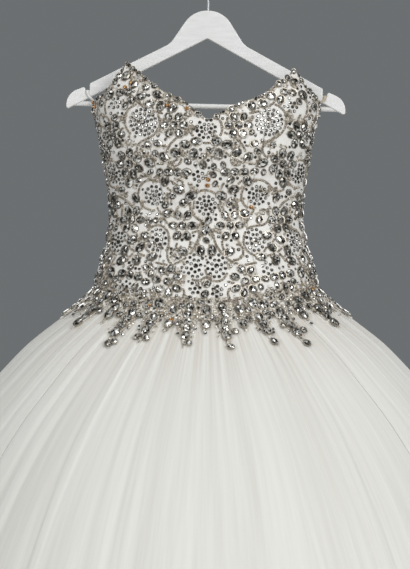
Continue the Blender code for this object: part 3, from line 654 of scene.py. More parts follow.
GLASS_GRAIN = Grain(EVEN, 900, 2, Bump(0.12, 0.0003))
METAL_GRAIN = Grain(EVEN, 700, 3, Bump(0.1, 0.0002))
PAINT_GRAIN = Grain(EVEN, 350, 2, Bump(0.08, 0.0004))
RIBBON_GRAIN = Grain((1, 1, 3), 1200, 2, Bump(0.3, 0.0003))
# The mix node's inputs for an amount and two colours, and its output for a colour
MIX_INPUTS = (0, 6, 7)
MIX_OUTPUT = 2

# Stage, lights and camera, in metres
FLOOR_HEIGHT = -1.56
FLOOR_HALF_SIZE = 14.0
FLOOR_COLOUR = (0.62, 0.62, 0.62)
FLOOR_ROUGHNESS = 0.9
BACKDROP = (0.15, 0.16, 0.165)
CAMERA_PLACE = (-0.00644, -3.2, -0.49913)
CAMERA_LENS = 174.6
CAMERA_SENSOR = 36
LIGHT_TARGET = (0, 0, -0.55)
SoftLight = namedtuple("SoftLight", "name place size power")
LIGHTS = (
    SoftLight("key", (1.9, -3.0, 0.7), 2.0, 66),
    SoftLight("fill", (-2.1, -3.0, 0.5), 2.2, 37),
    SoftLight("top", (0, -0.8, 2.4), 2.0, 18),
    SoftLight("back_left", (-1.6, 3.2, 1.0), 2.0, 30),
    SoftLight("back_right", (1.8, 3.2, 0.6), 2.0, 34),
)


# The gown's surface

LEVELS = np.array([row.level for row in SECTIONS], float)
HALF_WIDTHS = np.array([row.half_width for row in SECTIONS], float)
FRONT_DEPTHS = np.array([row.front for row in SECTIONS], float)
BACK_DEPTHS = np.array([row.back for row in SECTIONS], float)
QUARTER_ANGLES = np.linspace(0, math.pi / 2, QUARTER_STEPS + 1)


def smooth_slopes(places, values):
    """Slopes of a curve through the values that never swings past them."""
    steps = np.diff(places)
    rises = np.diff(values) / steps
    slopes = np.zeros(len(values))
    slopes[0] = rises[0]
    slopes[-1] = rises[-1]
    for i in range(1, len(values) - 1):
        if rises[i - 1] * rises[i] > 0:
            before = 2 * steps[i] + steps[i - 1]
            after = steps[i] + 2 * steps[i - 1]
            slopes[i] = (before + after) / (before / rises[i - 1] + after / rises[i])
    return slopes


def smooth_curve(at, places, values, slopes):
    """The curve's values at places between those that are given."""
    at = np.clip(at, places[0], places[-1])
    i = np.clip(np.searchsorted(places, at, side="right") - 1, 0, len(places) - 2)
    step = places[i + 1] - places[i]
    t = (at - places[i]) / step
    here = values[i] * (2 * t ** 3 - 3 * t ** 2 + 1) + values[i + 1] * (3 * t ** 2 - 2 * t ** 3)
    lean = slopes[i] * (t ** 3 - 2 * t ** 2 + t) + slopes[i + 1] * (t ** 3 - t ** 2)
    return here + step * lean


RINGS = [(values, smooth_slopes(LEVELS, values)) for values in (HALF_WIDTHS, FRONT_DEPTHS, BACK_DEPTHS)]


def surface_chunk(share, level):
    half_width, front, back = (smooth_curve(level, LEVELS, values, slopes) for values, slopes in RINGS)
    share = (share + 0.5) % 1 - 0.5
    in_front = np.abs(share) <= QUARTER
    depth = np.where(in_front, front, back)
    quarter_share = np.where(in_front, np.abs(share), 0.5 - np.abs(share)) / QUARTER
    across = half_width[:, None] * np.sin(QUARTER_ANGLES)
    along = depth[:, None] * np.cos(QUARTER_ANGLES)
    lengths = np.cumsum(np.hypot(np.diff(across, axis=1), np.diff(along, axis=1)), axis=1)
    lengths = np.concatenate((np.zeros((len(share), 1)), lengths), axis=1)
    wanted = quarter_share * lengths[:, -1]
    after = np.clip((lengths < wanted[:, None]).sum(axis=1), 1, QUARTER_STEPS)
    rows = np.arange(len(share))
    low = lengths[rows, after - 1]
    part = (wanted - low) / (lengths[rows, after] - low)
    angle = QUARTER_ANGLES[after - 1] + part * (QUARTER_ANGLES[1] - QUARTER_ANGLES[0])
    x = GOWN_SHIFT + np.sign(share) * half_width * np.sin(angle)
    y = np.where(in_front, -1, 1) * depth * np.cos(angle)
    amount = np.where(in_front, FRONT_DIP, BACK_DIP) * np.interp(level, DIP_LEVELS, DIP_AMOUNTS)
    z = -level - amount * np.cos(2 * math.pi * share) ** 2
    return np.stack((x, y, z), axis=1)


def surface(share, level):
    """Points on the gown's surface for arrays of shares and levels, in millimetres."""
    share, level = np.broadcast_arrays(np.asarray(share, float), np.asarray(level, float))
    flat_share = share.ravel()
    flat_level = level.ravel()
    parts = []
    for start in range(0, len(flat_share), CHUNK):
        parts.append(surface_chunk(flat_share[start:start + CHUNK], flat_level[start:start + CHUNK]))
    return np.concatenate(parts).reshape(share.shape + (3,))


def unit(vectors):
    return vectors / np.linalg.norm(vectors, axis=-1, keepdims=True)


def frames(share, level):
    """Points with the directions there: round the gown, down it, and outward."""
    share = np.asarray(share, float)
    level = np.asarray(level, float)
    points = surface(share, level)
    ahead = surface(share + SHARE_STEP, level) - surface(share - SHARE_STEP, level)
    down = surface(share, level + LEVEL_STEP) - surface(share, level - LEVEL_STEP)
    outward = unit(np.cross(down, ahead))
    around = unit(ahead)
    return points, around, np.cross(around, outward), outward


def offset(share, level, out):
    """Points that stand out from the surface by some millimetres."""
    points, _, _, outward = frames(share, level)
    return points + outward * np.asarray(out)[..., None]


# Lengths on the surface, as the CAD measures them, so that the layouts agree

def quarter_length(half_width, depth):
    across = half_width * np.sin(QUARTER_ANGLES)
    along = depth * np.cos(QUARTER_ANGLES)
    return float(np.hypot(np.diff(across), np.diff(along)).sum())


GIRTHS = [
    2 * quarter_length(row.half_width, row.front) + 2 * quarter_length(row.half_width, row.back)
    for row in SECTIONS
]


def girth(level):
    return float(np.interp(level, LEVELS, GIRTHS))


def slant(level):
    """Length down the side for each millimetre of level."""
    step = 4
    wider = np.interp(level + step, LEVELS, HALF_WIDTHS) - np.interp(level - step, LEVELS, HALF_WIDTHS)
    return math.hypot(1, wider / (2 * step))


def moved(share, level, across, down):
    """The place that lies some millimetres round and down from another."""
    return share + across / girth(level), level + down / slant(level)


def towards(share, level, turn, reach):
    """The place some millimetres away, in a direction in radians from level towards the hem."""
    return moved(share, level, reach * math.cos(turn), reach * math.sin(turn))


def curve_point(before, start, end, after, t):
    """A point between start and end, on a smooth curve through four points."""
    bow = (2 * before - 5 * start + 4 * end - after) * t * t
    twist = (3 * start - before - 3 * end + after) * t ** 3
    return 0.5 * (2 * start + (end - before) * t + bow + twist)


# The layout of the large crystals

def apart(stone, others):
    round_scale = girth(stone.level)
    down_scale = slant(stone.level)
    for other in others:
        across = (stone.share - other.share) * round_scale
        down = (stone.level - other.level) * down_scale
        near = (stone.length + other.length + stone.width + other.width) / 4 + STONE_SPACING
        if math.hypot(across, down) < near:
            return False
    return True


def rosette_stones(rosette):
    stones = [Stone(rosette.share, rosette.level, 0, HEART_SIZE, HEART_SIZE)]
    for petal in range(rosette.petals):
        turn = 2 * math.pi * petal / rosette.petals
        share, level = towards(rosette.share, rosette.level, turn, rosette.radius)
        stones.append(Stone(share, level, math.degrees(turn), PETAL_LENGTH, PETAL_WIDTH))
    return stones


def scroll_nodes(scroll):
    """Places along a scroll with the heading at each."""
    nodes = []
    share = scroll.share
    level = scroll.level
    heading = scroll.heading
    travelled = 0
    while travelled < scroll.length:
        nodes.append((share, level, heading))
        share, level = towards(share, level, math.radians(heading), LEAF_STEP)
        heading += scroll.bend * LEAF_STEP
        travelled += LEAF_STEP
    nodes.append((share, level, heading))
    return nodes


def scroll_stones(scroll):
    stones = []
    nodes = scroll_nodes(scroll)
    for share, level, heading in nodes[:-1]:
        for side in (-1, 1):
            sideways = math.radians(heading + 90 * side)
            place = towards(share, level, sideways, LEAF_OFFSET)
            stones.append(Stone(*place, heading + LEAF_SPLAY * side, LEAF_LENGTH, LEAF_WIDTH))
    share, level, heading = nodes[-1]
    stones.append(Stone(share, level, heading, LEAF_LENGTH, LEAF_WIDTH))
    return stones


def spray_stones(spray):
    stones = []
    level = spray.tip - SPRAY_STONE_STEP / 2
    while level > LOWER_EDGE - SPRAY_STONE_STEP:
        stones.append(Stone(spray.share, level, 90, LEAF_LENGTH, LEAF_WIDTH))
        level -= SPRAY_STONE_STEP / slant(level)
    return stones


def fill_places():
    """A jittered grid over half the bodice, for the stones between the motifs."""
    dice = random.Random(FILL_SEED)
    level = FILL_TOP
    odd_row = False
    while level < LOWER_EDGE:
        step = FILL_SPACING / girth(level)
        share = step / 2 if odd_row else FILL_START
        while share < 0.5:
            jitter_round = dice.uniform(-FILL_JITTER, FILL_JITTER) * step
            jitter_down = dice.uniform(-FILL_JITTER, FILL_JITTER) * FILL_SPACING
            length = dice.uniform(*FILL_LENGTHS)
            angle = dice.uniform(0, 180)
            width = length * FILL_WIDTH_SHARE
            yield Stone(share + jitter_round, level + jitter_down, angle, length, width)
            share += step
        level += FILL_SPACING * FILL_ROW_STEP
        odd_row = not odd_row


def in_medallion(stone):
    for medallion in MEDALLIONS:
        across = (stone.share - medallion.share) * girth(stone.level)
        down = (stone.level - medallion.level) * slant(stone.level)
        if math.hypot(across, down) < medallion.radius + MEDALLION_MARGIN:
            return True
    return False


def whole_layout():
    wanted = []
    for rosette in ROSETTES:
        wanted.extend(rosette_stones(rosette))
    for spray in SPRAYS:
        wanted.extend(spray_stones(spray))
    for scroll in SCROLLS:
        wanted.extend(scroll_stones(scroll))
    wanted.extend(fill_places())
    half = []
    for stone in wanted:
        if stone.share > -CENTRE_REACH and not in_medallion(stone) and apart(stone, half):
            half.append(stone)
    stones = []
    for stone in half:
        if apart(stone, stones):
            stones.append(stone)
        twin = Stone(-stone.share, stone.level, 180 - stone.angle, stone.length, stone.width)
        if apart(twin, stones):
            stones.append(twin)
    return stones


# The bodice's edges

NECKLINE = FRONT_NECKLINE + BACK_NECKLINE[1:]
NECK_SHARES = [row.share for row in NECKLINE]
NECK_LEFT = [row.left for row in NECKLINE]
NECK_RIGHT = [row.right for row in NECKLINE]


def neck_level(share):
    share = np.asarray(share, float)
    left = np.interp(np.abs(share), NECK_SHARES, NECK_LEFT)
    right = np.interp(np.abs(share), NECK_SHARES, NECK_RIGHT)
    return np.where(share < 0, left, right)


def princess_share(level):
    levels, shares = np.array(PRINCESS_SEAM).T
    return np.interp(level, levels, shares)


def edge_level(share):
    """The jagged lower edge, with a point at each spray."""
    share = np.abs(np.asarray(share, float))
    level = np.full(share.shape, float(LOWER_EDGE))
    for spray in SPRAYS:
        depth = spray.tip - LOWER_EDGE
        reach = spray.half_width
        shares = (-reach, -reach * SPRAY_SHOULDER, 0, reach * SPRAY_SHOULDER, reach)
        shoulder = depth * SPRAY_SHOULDER_DROP
        lowered = np.interp(share - spray.share, shares, (0, shoulder, depth, shoulder, 0), left=0, right=0)
        level = np.maximum(level, LOWER_EDGE + lowered)
    return level


# Making meshes

def build_mesh(name, points, corners, sizes):
    mesh = bpy.data.meshes.new(name)
    mesh.vertices.add(len(points))
    mesh.vertices.foreach_set("co", (points * MM).astype(np.float32).ravel())
    mesh.loops.add(len(corners))
    mesh.loops.foreach_set("vertex_index", corners.astype(np.int32))
    mesh.polygons.add(len(sizes))
    starts = np.concatenate(([0], np.cumsum(sizes)[:-1]))
    mesh.polygons.foreach_set("loop_start", starts.astype(np.int32))
    mesh.update(calc_edges=True)
    return mesh


def add_values(mesh, name, kind, domain, field, values):
    """Give a mesh a value at each point or face, for its material."""
    values = np.asarray(values, np.float32).ravel()
    mesh.attributes.new(name, kind, domain).data.foreach_set(field, values)


def set_smooth(mesh, flat_faces):
    """Shade all faces smooth but the last ones."""
    smooth = np.full(len(mesh.polygons), True)
    smooth[len(smooth) - flat_faces:] = False
    mesh.polygons.foreach_set("use_smooth", smooth)


def ring_faces(rings, sides, closed=False):
    """Four-cornered faces between rings of points, where the last ring can meet the first."""
    index = np.arange(rings * sides).reshape(rings, sides)
    ahead = np.roll(index, -1, axis=1)
    here = slice(None) if closed else slice(-1)
    index_after, ahead_after = (np.roll(grid, -1, axis=0) for grid in (index, ahead))
    corners = (index[here], ahead[here], ahead_after[here], index_after[here])
    return np.stack(corners, -1).reshape(-1, 4)


def add_piece(name, mesh, finish, replaced=()):
    piece = bpy.data.objects.new(name, mesh)
    bpy.context.scene.collection.objects.link(piece)
    mesh.materials.clear()
    mesh.materials.append(finish)
    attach(piece, "root")
    if replaced:
        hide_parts(*replaced)
    return piece


def shell_mesh(name, outer, inner, cloth):
    """A closed thin shell between two grids of points, rows down and columns round."""
    rows, columns = outer.shape[:2]
    count = rows * columns
    index = np.arange(count).reshape(rows, columns)
    face = np.stack((index[:-1, :-1], index[1:, :-1], index[1:, 1:], index[:-1, 1:]), -1).reshape(-1, 4)
    loop = np.concatenate((index[0, :], index[1:, -1], index[-1, -2::-1], index[-2:0:-1, 0]))
    following = np.roll(loop, -1)
    rim = np.stack((loop, following, following + count, loop + count), -1)
    faces = np.concatenate((face, face[:, ::-1] + count, rim))
    points = np.concatenate((outer.reshape(-1, 3), inner.reshape(-1, 3)))
    mesh = build_mesh(name, points, faces.ravel(), np.full(len(faces), 4))
    places = np.concatenate((cloth.reshape(-1, 3), cloth.reshape(-1, 3)))
    add_values(mesh, "cloth", "FLOAT_VECTOR", "POINT", "vector", places)
    set_smooth(mesh, len(rim))
    return mesh


# Materials

def new_finish(name, colour, roughness, metallic=0.0, **more):
    finish = bpy.data.materials.new(name)
    finish.use_nodes = True
    shader = finish.node_tree.nodes["Principled BSDF"]
    shader.inputs["Base Color"].default_value = (*colour, 1)
    shader.inputs["Roughness"].default_value = roughness
    shader.inputs["Metallic"].default_value = metallic
    for socket, value in more.items():
        shader.inputs[socket.replace("_", " ").title()].default_value = value
    return finish


def node(finish, kind, **settings):
    made = finish.node_tree.nodes.new(kind)
    for setting, value in settings.items():
        setattr(made, setting, value)
    return made


def link(finish, start, end):
    finish.node_tree.links.new(start, end)


def stretched_noise(finish, source, stretch, scale, detail=2.0):
    """Noise over coordinates that are stretched first."""
    stretcher = node(finish, "ShaderNodeVectorMath", operation="MULTIPLY")
    stretcher.inputs[1].default_value = stretch
    link(finish, source, stretcher.inputs[0])
    noise = node(finish, "ShaderNodeTexNoise")
    noise.inputs["Scale"].default_value = scale
    noise.inputs["Detail"].default_value = detail
    link(finish, stretcher.outputs[0], noise.inputs["Vector"])
    return noise.outputs["Fac"]


def ramp(finish, source, stops):
    """Colours along a value, as (place, colour) stops."""
    made = node(finish, "ShaderNodeValToRGB")
    elements = made.color_ramp.elements
    while len(elements) < len(stops):
        elements.new(0.5)
    for element, (place, colour) in zip(elements, stops):
        element.position = place
        element.color = (*colour, 1)
    link(finish, source, made.inputs["Fac"])
    return made.outputs["Color"]


def bump(finish, height, relief, before=None):
    made = node(finish, "ShaderNodeBump")
    made.inputs["Strength"].default_value = relief.strength
    made.inputs["Distance"].default_value = relief.distance
    link(finish, height, made.inputs["Height"])
    if before is not None:
        link(finish, before, made.inputs["Normal"])
    return made.outputs["Normal"]


def to_shader(finish, output, socket):
    link(finish, output, finish.node_tree.nodes["Principled BSDF"].inputs[socket])


def cloth_place(finish):
    return node(finish, "ShaderNodeAttribute", attribute_name="cloth").outputs["Vector"]


def object_place(finish):
    return node(finish, "ShaderNodeTexCoord").outputs["Object"]


def streaks(finish, place, streak):
    """Noise in long streaks that lean a little, with their width and length in millimetres."""
    weights = (
        ("X", (1 / streak.width, streak.lean / streak.width, STREAK_PANEL_SHIFT)),
        ("Y", (0, 1 / streak.length, 0)),
    )
    joined = node(finish, "ShaderNodeCombineXYZ")
    joined.inputs["Z"].default_value = streak.width + STREAK_KIND_SHIFT * streak.lean
    for axis, weight in weights:
        product = node(finish, "ShaderNodeVectorMath", operation="DOT_PRODUCT")
        product.inputs[1].default_value = weight
        link(finish, place, product.inputs[0])
        link(finish, product.outputs["Value"], joined.inputs[axis])
    noise = node(finish, "ShaderNodeTexNoise")
    noise.inputs["Scale"].default_value = 1.0
    noise.inputs["Detail"].default_value = streak.detail
    link(finish, joined.outputs["Vector"], noise.inputs["Vector"])
    return noise.outputs["Fac"]


def weighted(finish, parts):
    """The sum of values, each with its weight."""
    total = None
    for source, weight in parts:
        made = node(finish, "ShaderNodeMath", operation="MULTIPLY_ADD")
        made.inputs[1].default_value = weight
        made.inputs[2].default_value = 0.0
        link(finish, source, made.inputs[0])
        if total is not None:
            link(finish, total, made.inputs[2])
        total = made.outputs[0]
    return total


def by_level(finish, place, levels):
    """A value that goes from 1 at the first level to 0 at the second."""
    parts = node(finish, "ShaderNodeSeparateXYZ")
    link(finish, place, parts.inputs[0])
    made = node(finish, "ShaderNodeMapRange", interpolation_type="SMOOTHSTEP")
    for socket, value in zip(("From Min", "From Max", "To Min", "To Max"), (*levels, 1.0, 0.0)):
        made.inputs[socket].default_value = value
    link(finish, parts.outputs["Y"], made.inputs["Value"])
    return made.outputs["Result"]


def blend(finish, amount, start, end):
    """A colour between two, each given as a colour or as a node's output."""
    made = node(finish, "ShaderNodeMix", data_type="RGBA")
    for source, socket in zip((amount, start, end), MIX_INPUTS):
        if isinstance(source, tuple):
            made.inputs[socket].default_value = (*source, 1)
        else:
            link(finish, source, made.inputs[socket])
    return made.outputs[MIX_OUTPUT]


def grained(finish, grain):
    """Give a finish a fine relief, and return the noise behind it."""
    noise = stretched_noise(finish, object_place(finish), grain.stretch, grain.scale, grain.detail)
    to_shader(finish, bump(finish, noise, grain.bump), "Normal")
    return noise


def satin_finish():
    """White satin with painted shade in the hollows of its puckers, and a ground of fine bronze and silver
    beads between the stones whose darkest cells are partly painted shade among them.
    """
    finish = new_finish("beaded_satin_cloth", SATIN_LIGHT, SATIN_ROUGHNESS, sheen_weight=SATIN_SHEEN)
    place = cloth_place(finish)
    weave = stretched_noise(finish, place, WEAVE_STRETCH, 1.0, 3)
    pucker = stretched_noise(finish, place, PUCKER_STRETCH, 1.0, 3)
    # Painted shade in the puckers: the satin darker in their hollows
    satin = ramp(finish, pucker, SATIN_PUCKER_SHADING_TONES)
    cells = node(finish, "ShaderNodeTexVoronoi", voronoi_dimensions="2D")
    cells.inputs["Scale"].default_value = 1 / GROUND_BEAD
    link(finish, place, cells.inputs["Vector"])
    tone = node(finish, "ShaderNodeSeparateColor")
    link(finish, cells.outputs["Color"], tone.inputs[0])
    # A tone for each bead cell; the darkest cells are partly painted shade among the beads and stones
    beads = ramp(finish, tone.outputs[0], GROUND_BEAD_AND_SHADE_TONES)
    patches = stretched_noise(finish, place, (1 / GROUND_PATCH, 1 / GROUND_PATCH, 1), 1.0, 2)
    beaded = node(finish, "ShaderNodeAttribute", attribute_name="beaded").outputs["Fac"]
    cover = weighted(finish, ((patches, 1.0), (beaded, GROUND_WEIGHT)))
    mask = ramp(finish, cover, ((GROUND_START, BLACK), (GROUND_START + GROUND_BLEND, WHITE)))
    to_shader(finish, blend(finish, mask, satin, beads), "Base Color")
    fine = bump(finish, weave, WEAVE_BUMP)
    studded = bump(finish, cells.outputs["Distance"], BEAD_BUMP, fine)
    to_shader(finish, bump(finish, pucker, PUCKER_BUMP, studded), "Normal")
    return finish


def tulle_finish(name):
    """Soft white net: broad folds and streaks that cross at small angles, with painted shade and light on
    them, and painted beige shadow between the gathers above.
    """
    finish = new_finish(
        name, TULLE_MID, TULLE_ROUGHNESS, sheen_weight=TULLE_SHEEN, sheen_roughness=TULLE_SHEEN_ROUGHNESS
    )
    place = cloth_place(finish)
    lines = {kind: streaks(finish, place, streak) for kind, streak in STREAKS.items()}
    # Painted shade and light of the folds and streaks, from the noise that also bumps them
    cloth = weighted(finish, [(lines[kind], streak.weight) for kind, streak in STREAKS.items()])
    shade = ramp(finish, cloth, TULLE_FOLD_SHADING_TONES)
    # Painted shadow between the gathers, in the streaks' dark places, strongest just below the bodice and
    # gone lower down
    gathers = weighted(finish, zip((lines["left"], lines["fine"]), GATHER_SHADOW_WEIGHTS))
    amount = node(finish, "ShaderNodeMath", operation="MULTIPLY")
    link(finish, ramp(finish, gathers, GATHER_SHADOW_MASK_TONES), amount.inputs[0])
    link(finish, by_level(finish, place, GATHER_SHADOW_LEVELS), amount.inputs[1])
    to_shader(finish, blend(finish, amount.outputs[0], shade, GATHER_PAINTED_SHADOW), "Base Color")
    leaning = weighted(finish, ((lines["left"], 0.5), (lines["right"], 0.5)))
    relief = bump(finish, leaning, LEANING_BUMP, bump(finish, lines["fine"], FINE_BUMP))
    to_shader(finish, bump(finish, lines["broad"], BROAD_BUMP, relief), "Normal")
    return finish


def gem_finish(glass):
    """Facets of foiled glass, dark, mid and bright by each face's own tone: painted reflections and glints.
    """
    finish = new_finish(
        glass.name,
        GLASS_BASE,
        glass.roughness,
        glass.metallic,
        coat_weight=GLASS_COAT,
        coat_roughness=GLASS_COAT_ROUGHNESS,
    )
    tone = node(finish, "ShaderNodeAttribute", attribute_name="tone").outputs["Fac"]
    to_shader(finish, ramp(finish, tone, glass.tones), "Base Color")
    grained(finish, GLASS_GRAIN)
    return finish


def metal_finish(name, colour, roughness):
    finish = new_finish(name, colour, roughness, 1.0)
    rough = node(finish, "ShaderNodeMapRange")
    for socket, wear in zip(("To Min", "To Max"), METAL_WEAR):
        rough.inputs[socket].default_value = roughness * wear
    link(finish, grained(finish, METAL_GRAIN), rough.inputs["Value"])
    to_shader(finish, rough.outputs["Result"], "Roughness")
    return finish


def paint_finish(name):
    finish = new_finish(
        name, PAINT_COLOUR, PAINT_ROUGHNESS, coat_weight=PAINT_COAT, coat_roughness=PAINT_COAT_ROUGHNESS
    )
    place = object_place(finish)
    wear = stretched_noise(finish, place, PAINT_WEAR_STRETCH, PAINT_WEAR_SCALE, PAINT_WEAR_DETAIL)
    to_shader(finish, ramp(finish, wear, PAINT_TONES), "Base Color")
    grained(finish, PAINT_GRAIN)
    return finish


def ribbon_finish(ribbon):
    finish = new_finish(ribbon.material, ribbon.colour, RIBBON_ROUGHNESS, sheen_weight=RIBBON_SHEEN)
    weave = grained(finish, RIBBON_GRAIN)
    to_shader(finish, ramp(finish, weave, ((0.3, ribbon.darker), (0.7, ribbon.colour))), "Base Color")
    return finish


# Templates for stones: points with x and y from -1 to 1 and z up, and faces

Template = namedtuple("Template", "points corners sizes shades")
# Faces of one side, with each corner as (ring, steps ahead)
GIRDLE = ((0, 0), (0, 1), (1, 1), (1, 0))
CROWN = ((1, 0), (1, 1), (2, 1), (2, 0))
CROWN_FACETS = (((1, 0), (1, 1), (2, 0)), ((1, 1), (2, 1), (2, 0)))
TABLE_WEDGE = ((2, 0), (2, 1), (3, 0))
BEAD_TOP = ((1, 0), (1, 1), (2, 0))
# Tones of a small stone's cup and of its darker facets, the latter painted dark reflections
CUP_SHADE = 0.12
DARK_SHADE = 0.2
GEM_SIDES = 8
FIELD_SIDES = 7
LOOSE_SIDES = 6
BEAD_SIDES = 6


def ring_template(rim, rings, bands, caps=(), shades=None, peak=None):
    """A shape to stamp: the rim at the scale and height of each ring, and a point on top.

    A band is a face on each side, with its corners as (ring, steps ahead). A cap is a ring that
    is filled. A face with a shade of its own has that tone, the others a random one.
    """
    sides = len(rim)
    points = [(x * scale, y * scale, height) for scale, height in rings for x, y in rim]
    if peak is not None:
        points.append((0, 0, peak))
    faces = []
    for side in range(sides):
        for band in bands:
            face = []
            for ring, step in band:
                corner = (side + step) % sides if ring < len(rings) else 0
                face.append(ring * sides + corner)
            faces.append(face)
    for cap in caps:
        filled = range(cap * sides, (cap + 1) * sides)
        faces.append(filled if cap else filled[::-1])
    corners = np.array([corner for face in faces for corner in face])
    sizes = np.array([len(face) for face in faces])
    shades = np.full(len(faces), -1.0) if shades is None else np.array(shades, float)
    return Template(np.array(points, float), corners, sizes, shades)


def outline(sides, pointed):
    """An oval, or with a high value of pointed a leaf with two points."""
    places = []
    for side in range(sides):
        turn = 2 * math.pi * side / sides
        narrow = abs(math.sin(turn)) ** pointed
        places.append((math.cos(turn), math.copysign(narrow, math.sin(turn))))
    return places


def gem_template(pointed, table):
    """A cut stone: a girdle, a row of crown facets and a table of wedges."""
    rings = ((1, 0), (1, 0.4), (table, 0.9))
    bands = (GIRDLE, *CROWN_FACETS, TABLE_WEDGE)
    return ring_template(outline(GEM_SIDES, pointed), rings, bands, (0,), peak=1.0)


def small_gem_template(sides):
    """A small stone: a dark metal cup, crown facets and a flat table."""
    rings = ((1, 0), (0.94, 0.45), (0.5, 0.95))
    shades = []
    for side in range(sides):
        shades += [CUP_SHADE, -1 if side % 2 else DARK_SHADE]
    return ring_template(outline(sides, 1), rings, (GIRDLE, CROWN), (2, 0), shades + [-1, 0])


def bead_template():
    """A round bead, flat below and pointed a little on top."""
    rings = ((0.7, 0), (1, 0.5))
    return ring_template(outline(BEAD_SIDES, 1), rings, (GIRDLE, BEAD_TOP), (0,), peak=1)


def setting_template(pointed, reach):
    """A metal rim round a stone."""
    rings = ((reach, 0), (reach - 0.05, 0.5), (0.93, 0.46))
    return ring_template(outline(GEM_SIDES, pointed), rings, (GIRDLE, CROWN))


# A piece made of many stones
BATCH_COLUMNS = "name template stones height finish seed lift tones tilt"
Batch = namedtuple("Batch", BATCH_COLUMNS, defaults=(STONE_LIFT, CLEAR_TONES, STONE_TILT))


def stamp(batch):
    """One piece made of copies of a template at many places on the gown."""
    dice = np.random.default_rng(batch.seed)
    template = batch.template
    share, level, angle, length, width = np.array(batch.stones, float).T
    stones = len(share)
    points, around, down, outward = frames(share, level)
    lean_x = np.radians(dice.uniform(-batch.tilt, batch.tilt, stones))[:, None]
    lean_y = np.radians(dice.uniform(-batch.tilt, batch.tilt, stones))[:, None]
    turn = np.radians(angle)[:, None]
    along = unit(around * np.cos(turn) + down * np.sin(turn) + outward * lean_x)
    aside = unit(-around * np.sin(turn) + down * np.cos(turn) + outward * lean_y)
    up = unit(np.cross(aside, along))
    x, y, z = template.points.T[:, None, :, None]
    x = x * (length / 2)[:, None, None]
    y = y * (width / 2)[:, None, None]
    z = z * batch.height
    base = points + outward * batch.lift
    everything = base[:, None] + x * along[:, None] - y * aside[:, None] + z * up[:, None]
    starts = np.arange(stones) * len(template.points)
    corners = (template.corners[None, :] + starts[:, None]).ravel()
    sizes = np.tile(template.sizes, stones)
    mesh = build_mesh(batch.name, everything.reshape(-1, 3), corners, sizes)
    # Each face a dark, mid or bright tone at random: painted reflections and glints on the facets
    pick = dice.random(len(sizes))
    dark, mid = batch.tones
    tone = np.where(pick < dark, 0.0, np.where(pick < dark + mid, 0.5, 1.0))
    shades = np.tile(template.shades, stones)
    tone = np.where(shades < 0, tone, shades) + dice.uniform(-TONE_SPREAD, TONE_SPREAD, len(sizes))
    add_values(mesh, "tone", "FLOAT", "FACE", "value", np.clip(tone, 0, 1))
    set_smooth(mesh, len(sizes))
    add_piece(batch.name, mesh, batch.finish)


# Bodice

def level_columns(start, end):
    """Shares for the columns of a panel, with the corners of its sprays among them."""
    keys = {start, end}
    for spray in SPRAYS:
        for sign in (-1, 1):
            for reach in (-1, -SPRAY_SHOULDER, 0, SPRAY_SHOULDER, 1):
                share = sign * spray.share + reach * spray.half_width
                if start < share < end:
                    keys.add(round(share, 6))
    for neck in NECK_SHARES:
        for sign in (-1, 1):
            if start < sign * neck < end:
                keys.add(sign * neck)
    ordered = sorted(keys)
    shares = []
    for here, there in zip(ordered, ordered[1:]):
        pieces = max(1, math.ceil((there - here) / COLUMN_STEP))
        shares.extend(here + (there - here) * step / pieces for step in range(pieces))
    shares.append(end)
    return np.array(shares)


def beaded_ground(share, level):
    """How thickly the satin is beaded, with painted shade among the beads: 1 along its edges, 0 elsewhere,
    less under the round fields.
    """
    beaded = np.clip((level - BAND_LEVEL) / BAND_FADE, 0, 1)
    beaded = np.maximum(beaded, np.clip(1 - (level - neck_level(share)) / NECK_FADE, 0, 1))
    for middle, medallion in medallion_sites():
        distance = np.hypot((share - middle) * girth(medallion.level), level - medallion.level)
        beaded = np.where(distance < medallion.radius + FIELD_ROOM, FIELD_COVER, beaded)
    return beaded


def satin_panel(name, left_seam, right_seam, finish):
    """One panel between two seams, each given as the share at a level."""
    low_left = left_seam(SEAM_LEVEL)
    low_right = right_seam(SEAM_LEVEL)
    columns = level_columns(float(low_left), float(low_right))
    part = (columns - low_left) / (low_right - low_left)
    top = np.full(len(part), TOP_GUESS)
    for _ in range(TOP_PASSES):
        share = left_seam(top) + (right_seam(top) - left_seam(top)) * part
        top = neck_level(share)
    bottom = edge_level(columns)
    rows = []
    for step in range(BODY_ROWS):
        rows.append(top + (LOWER_EDGE - EDGE_DROP - top) * step / BODY_ROWS)
    for step in range(EDGE_ROWS + 1):
        rows.append(LOWER_EDGE - EDGE_DROP + (bottom - LOWER_EDGE + EDGE_DROP) * step / EDGE_ROWS)
    level = np.array(rows)
    share = left_seam(level) + (right_seam(level) - left_seam(level)) * part
    gap = SEAM_GAP / 2 / np.interp(level, LEVELS, GIRTHS)
    share[:, 0] += gap[:, 0]
    share[:, -1] -= gap[:, -1]
    outer = offset(share, level, np.full(share.shape, SATIN_OUTSIDE))
    inner = offset(share, level, np.full(share.shape, SATIN_INSIDE))
    cloth = np.stack((share * SATIN_ROUND, level, np.zeros(share.shape)), -1)
    mesh = shell_mesh(name, outer, inner, cloth)
    beaded = beaded_ground(share, level).ravel()
    add_values(mesh, "beaded", "FLOAT", "POINT", "value", (beaded, np.full(beaded.shape, -1.0)))
    piece = add_piece(name, mesh, finish, (name.replace("_satin", ""),))
    width = float(np.abs(share[:, -1] - share[:, 0]).max() * girth(LOWER_EDGE)) * MM


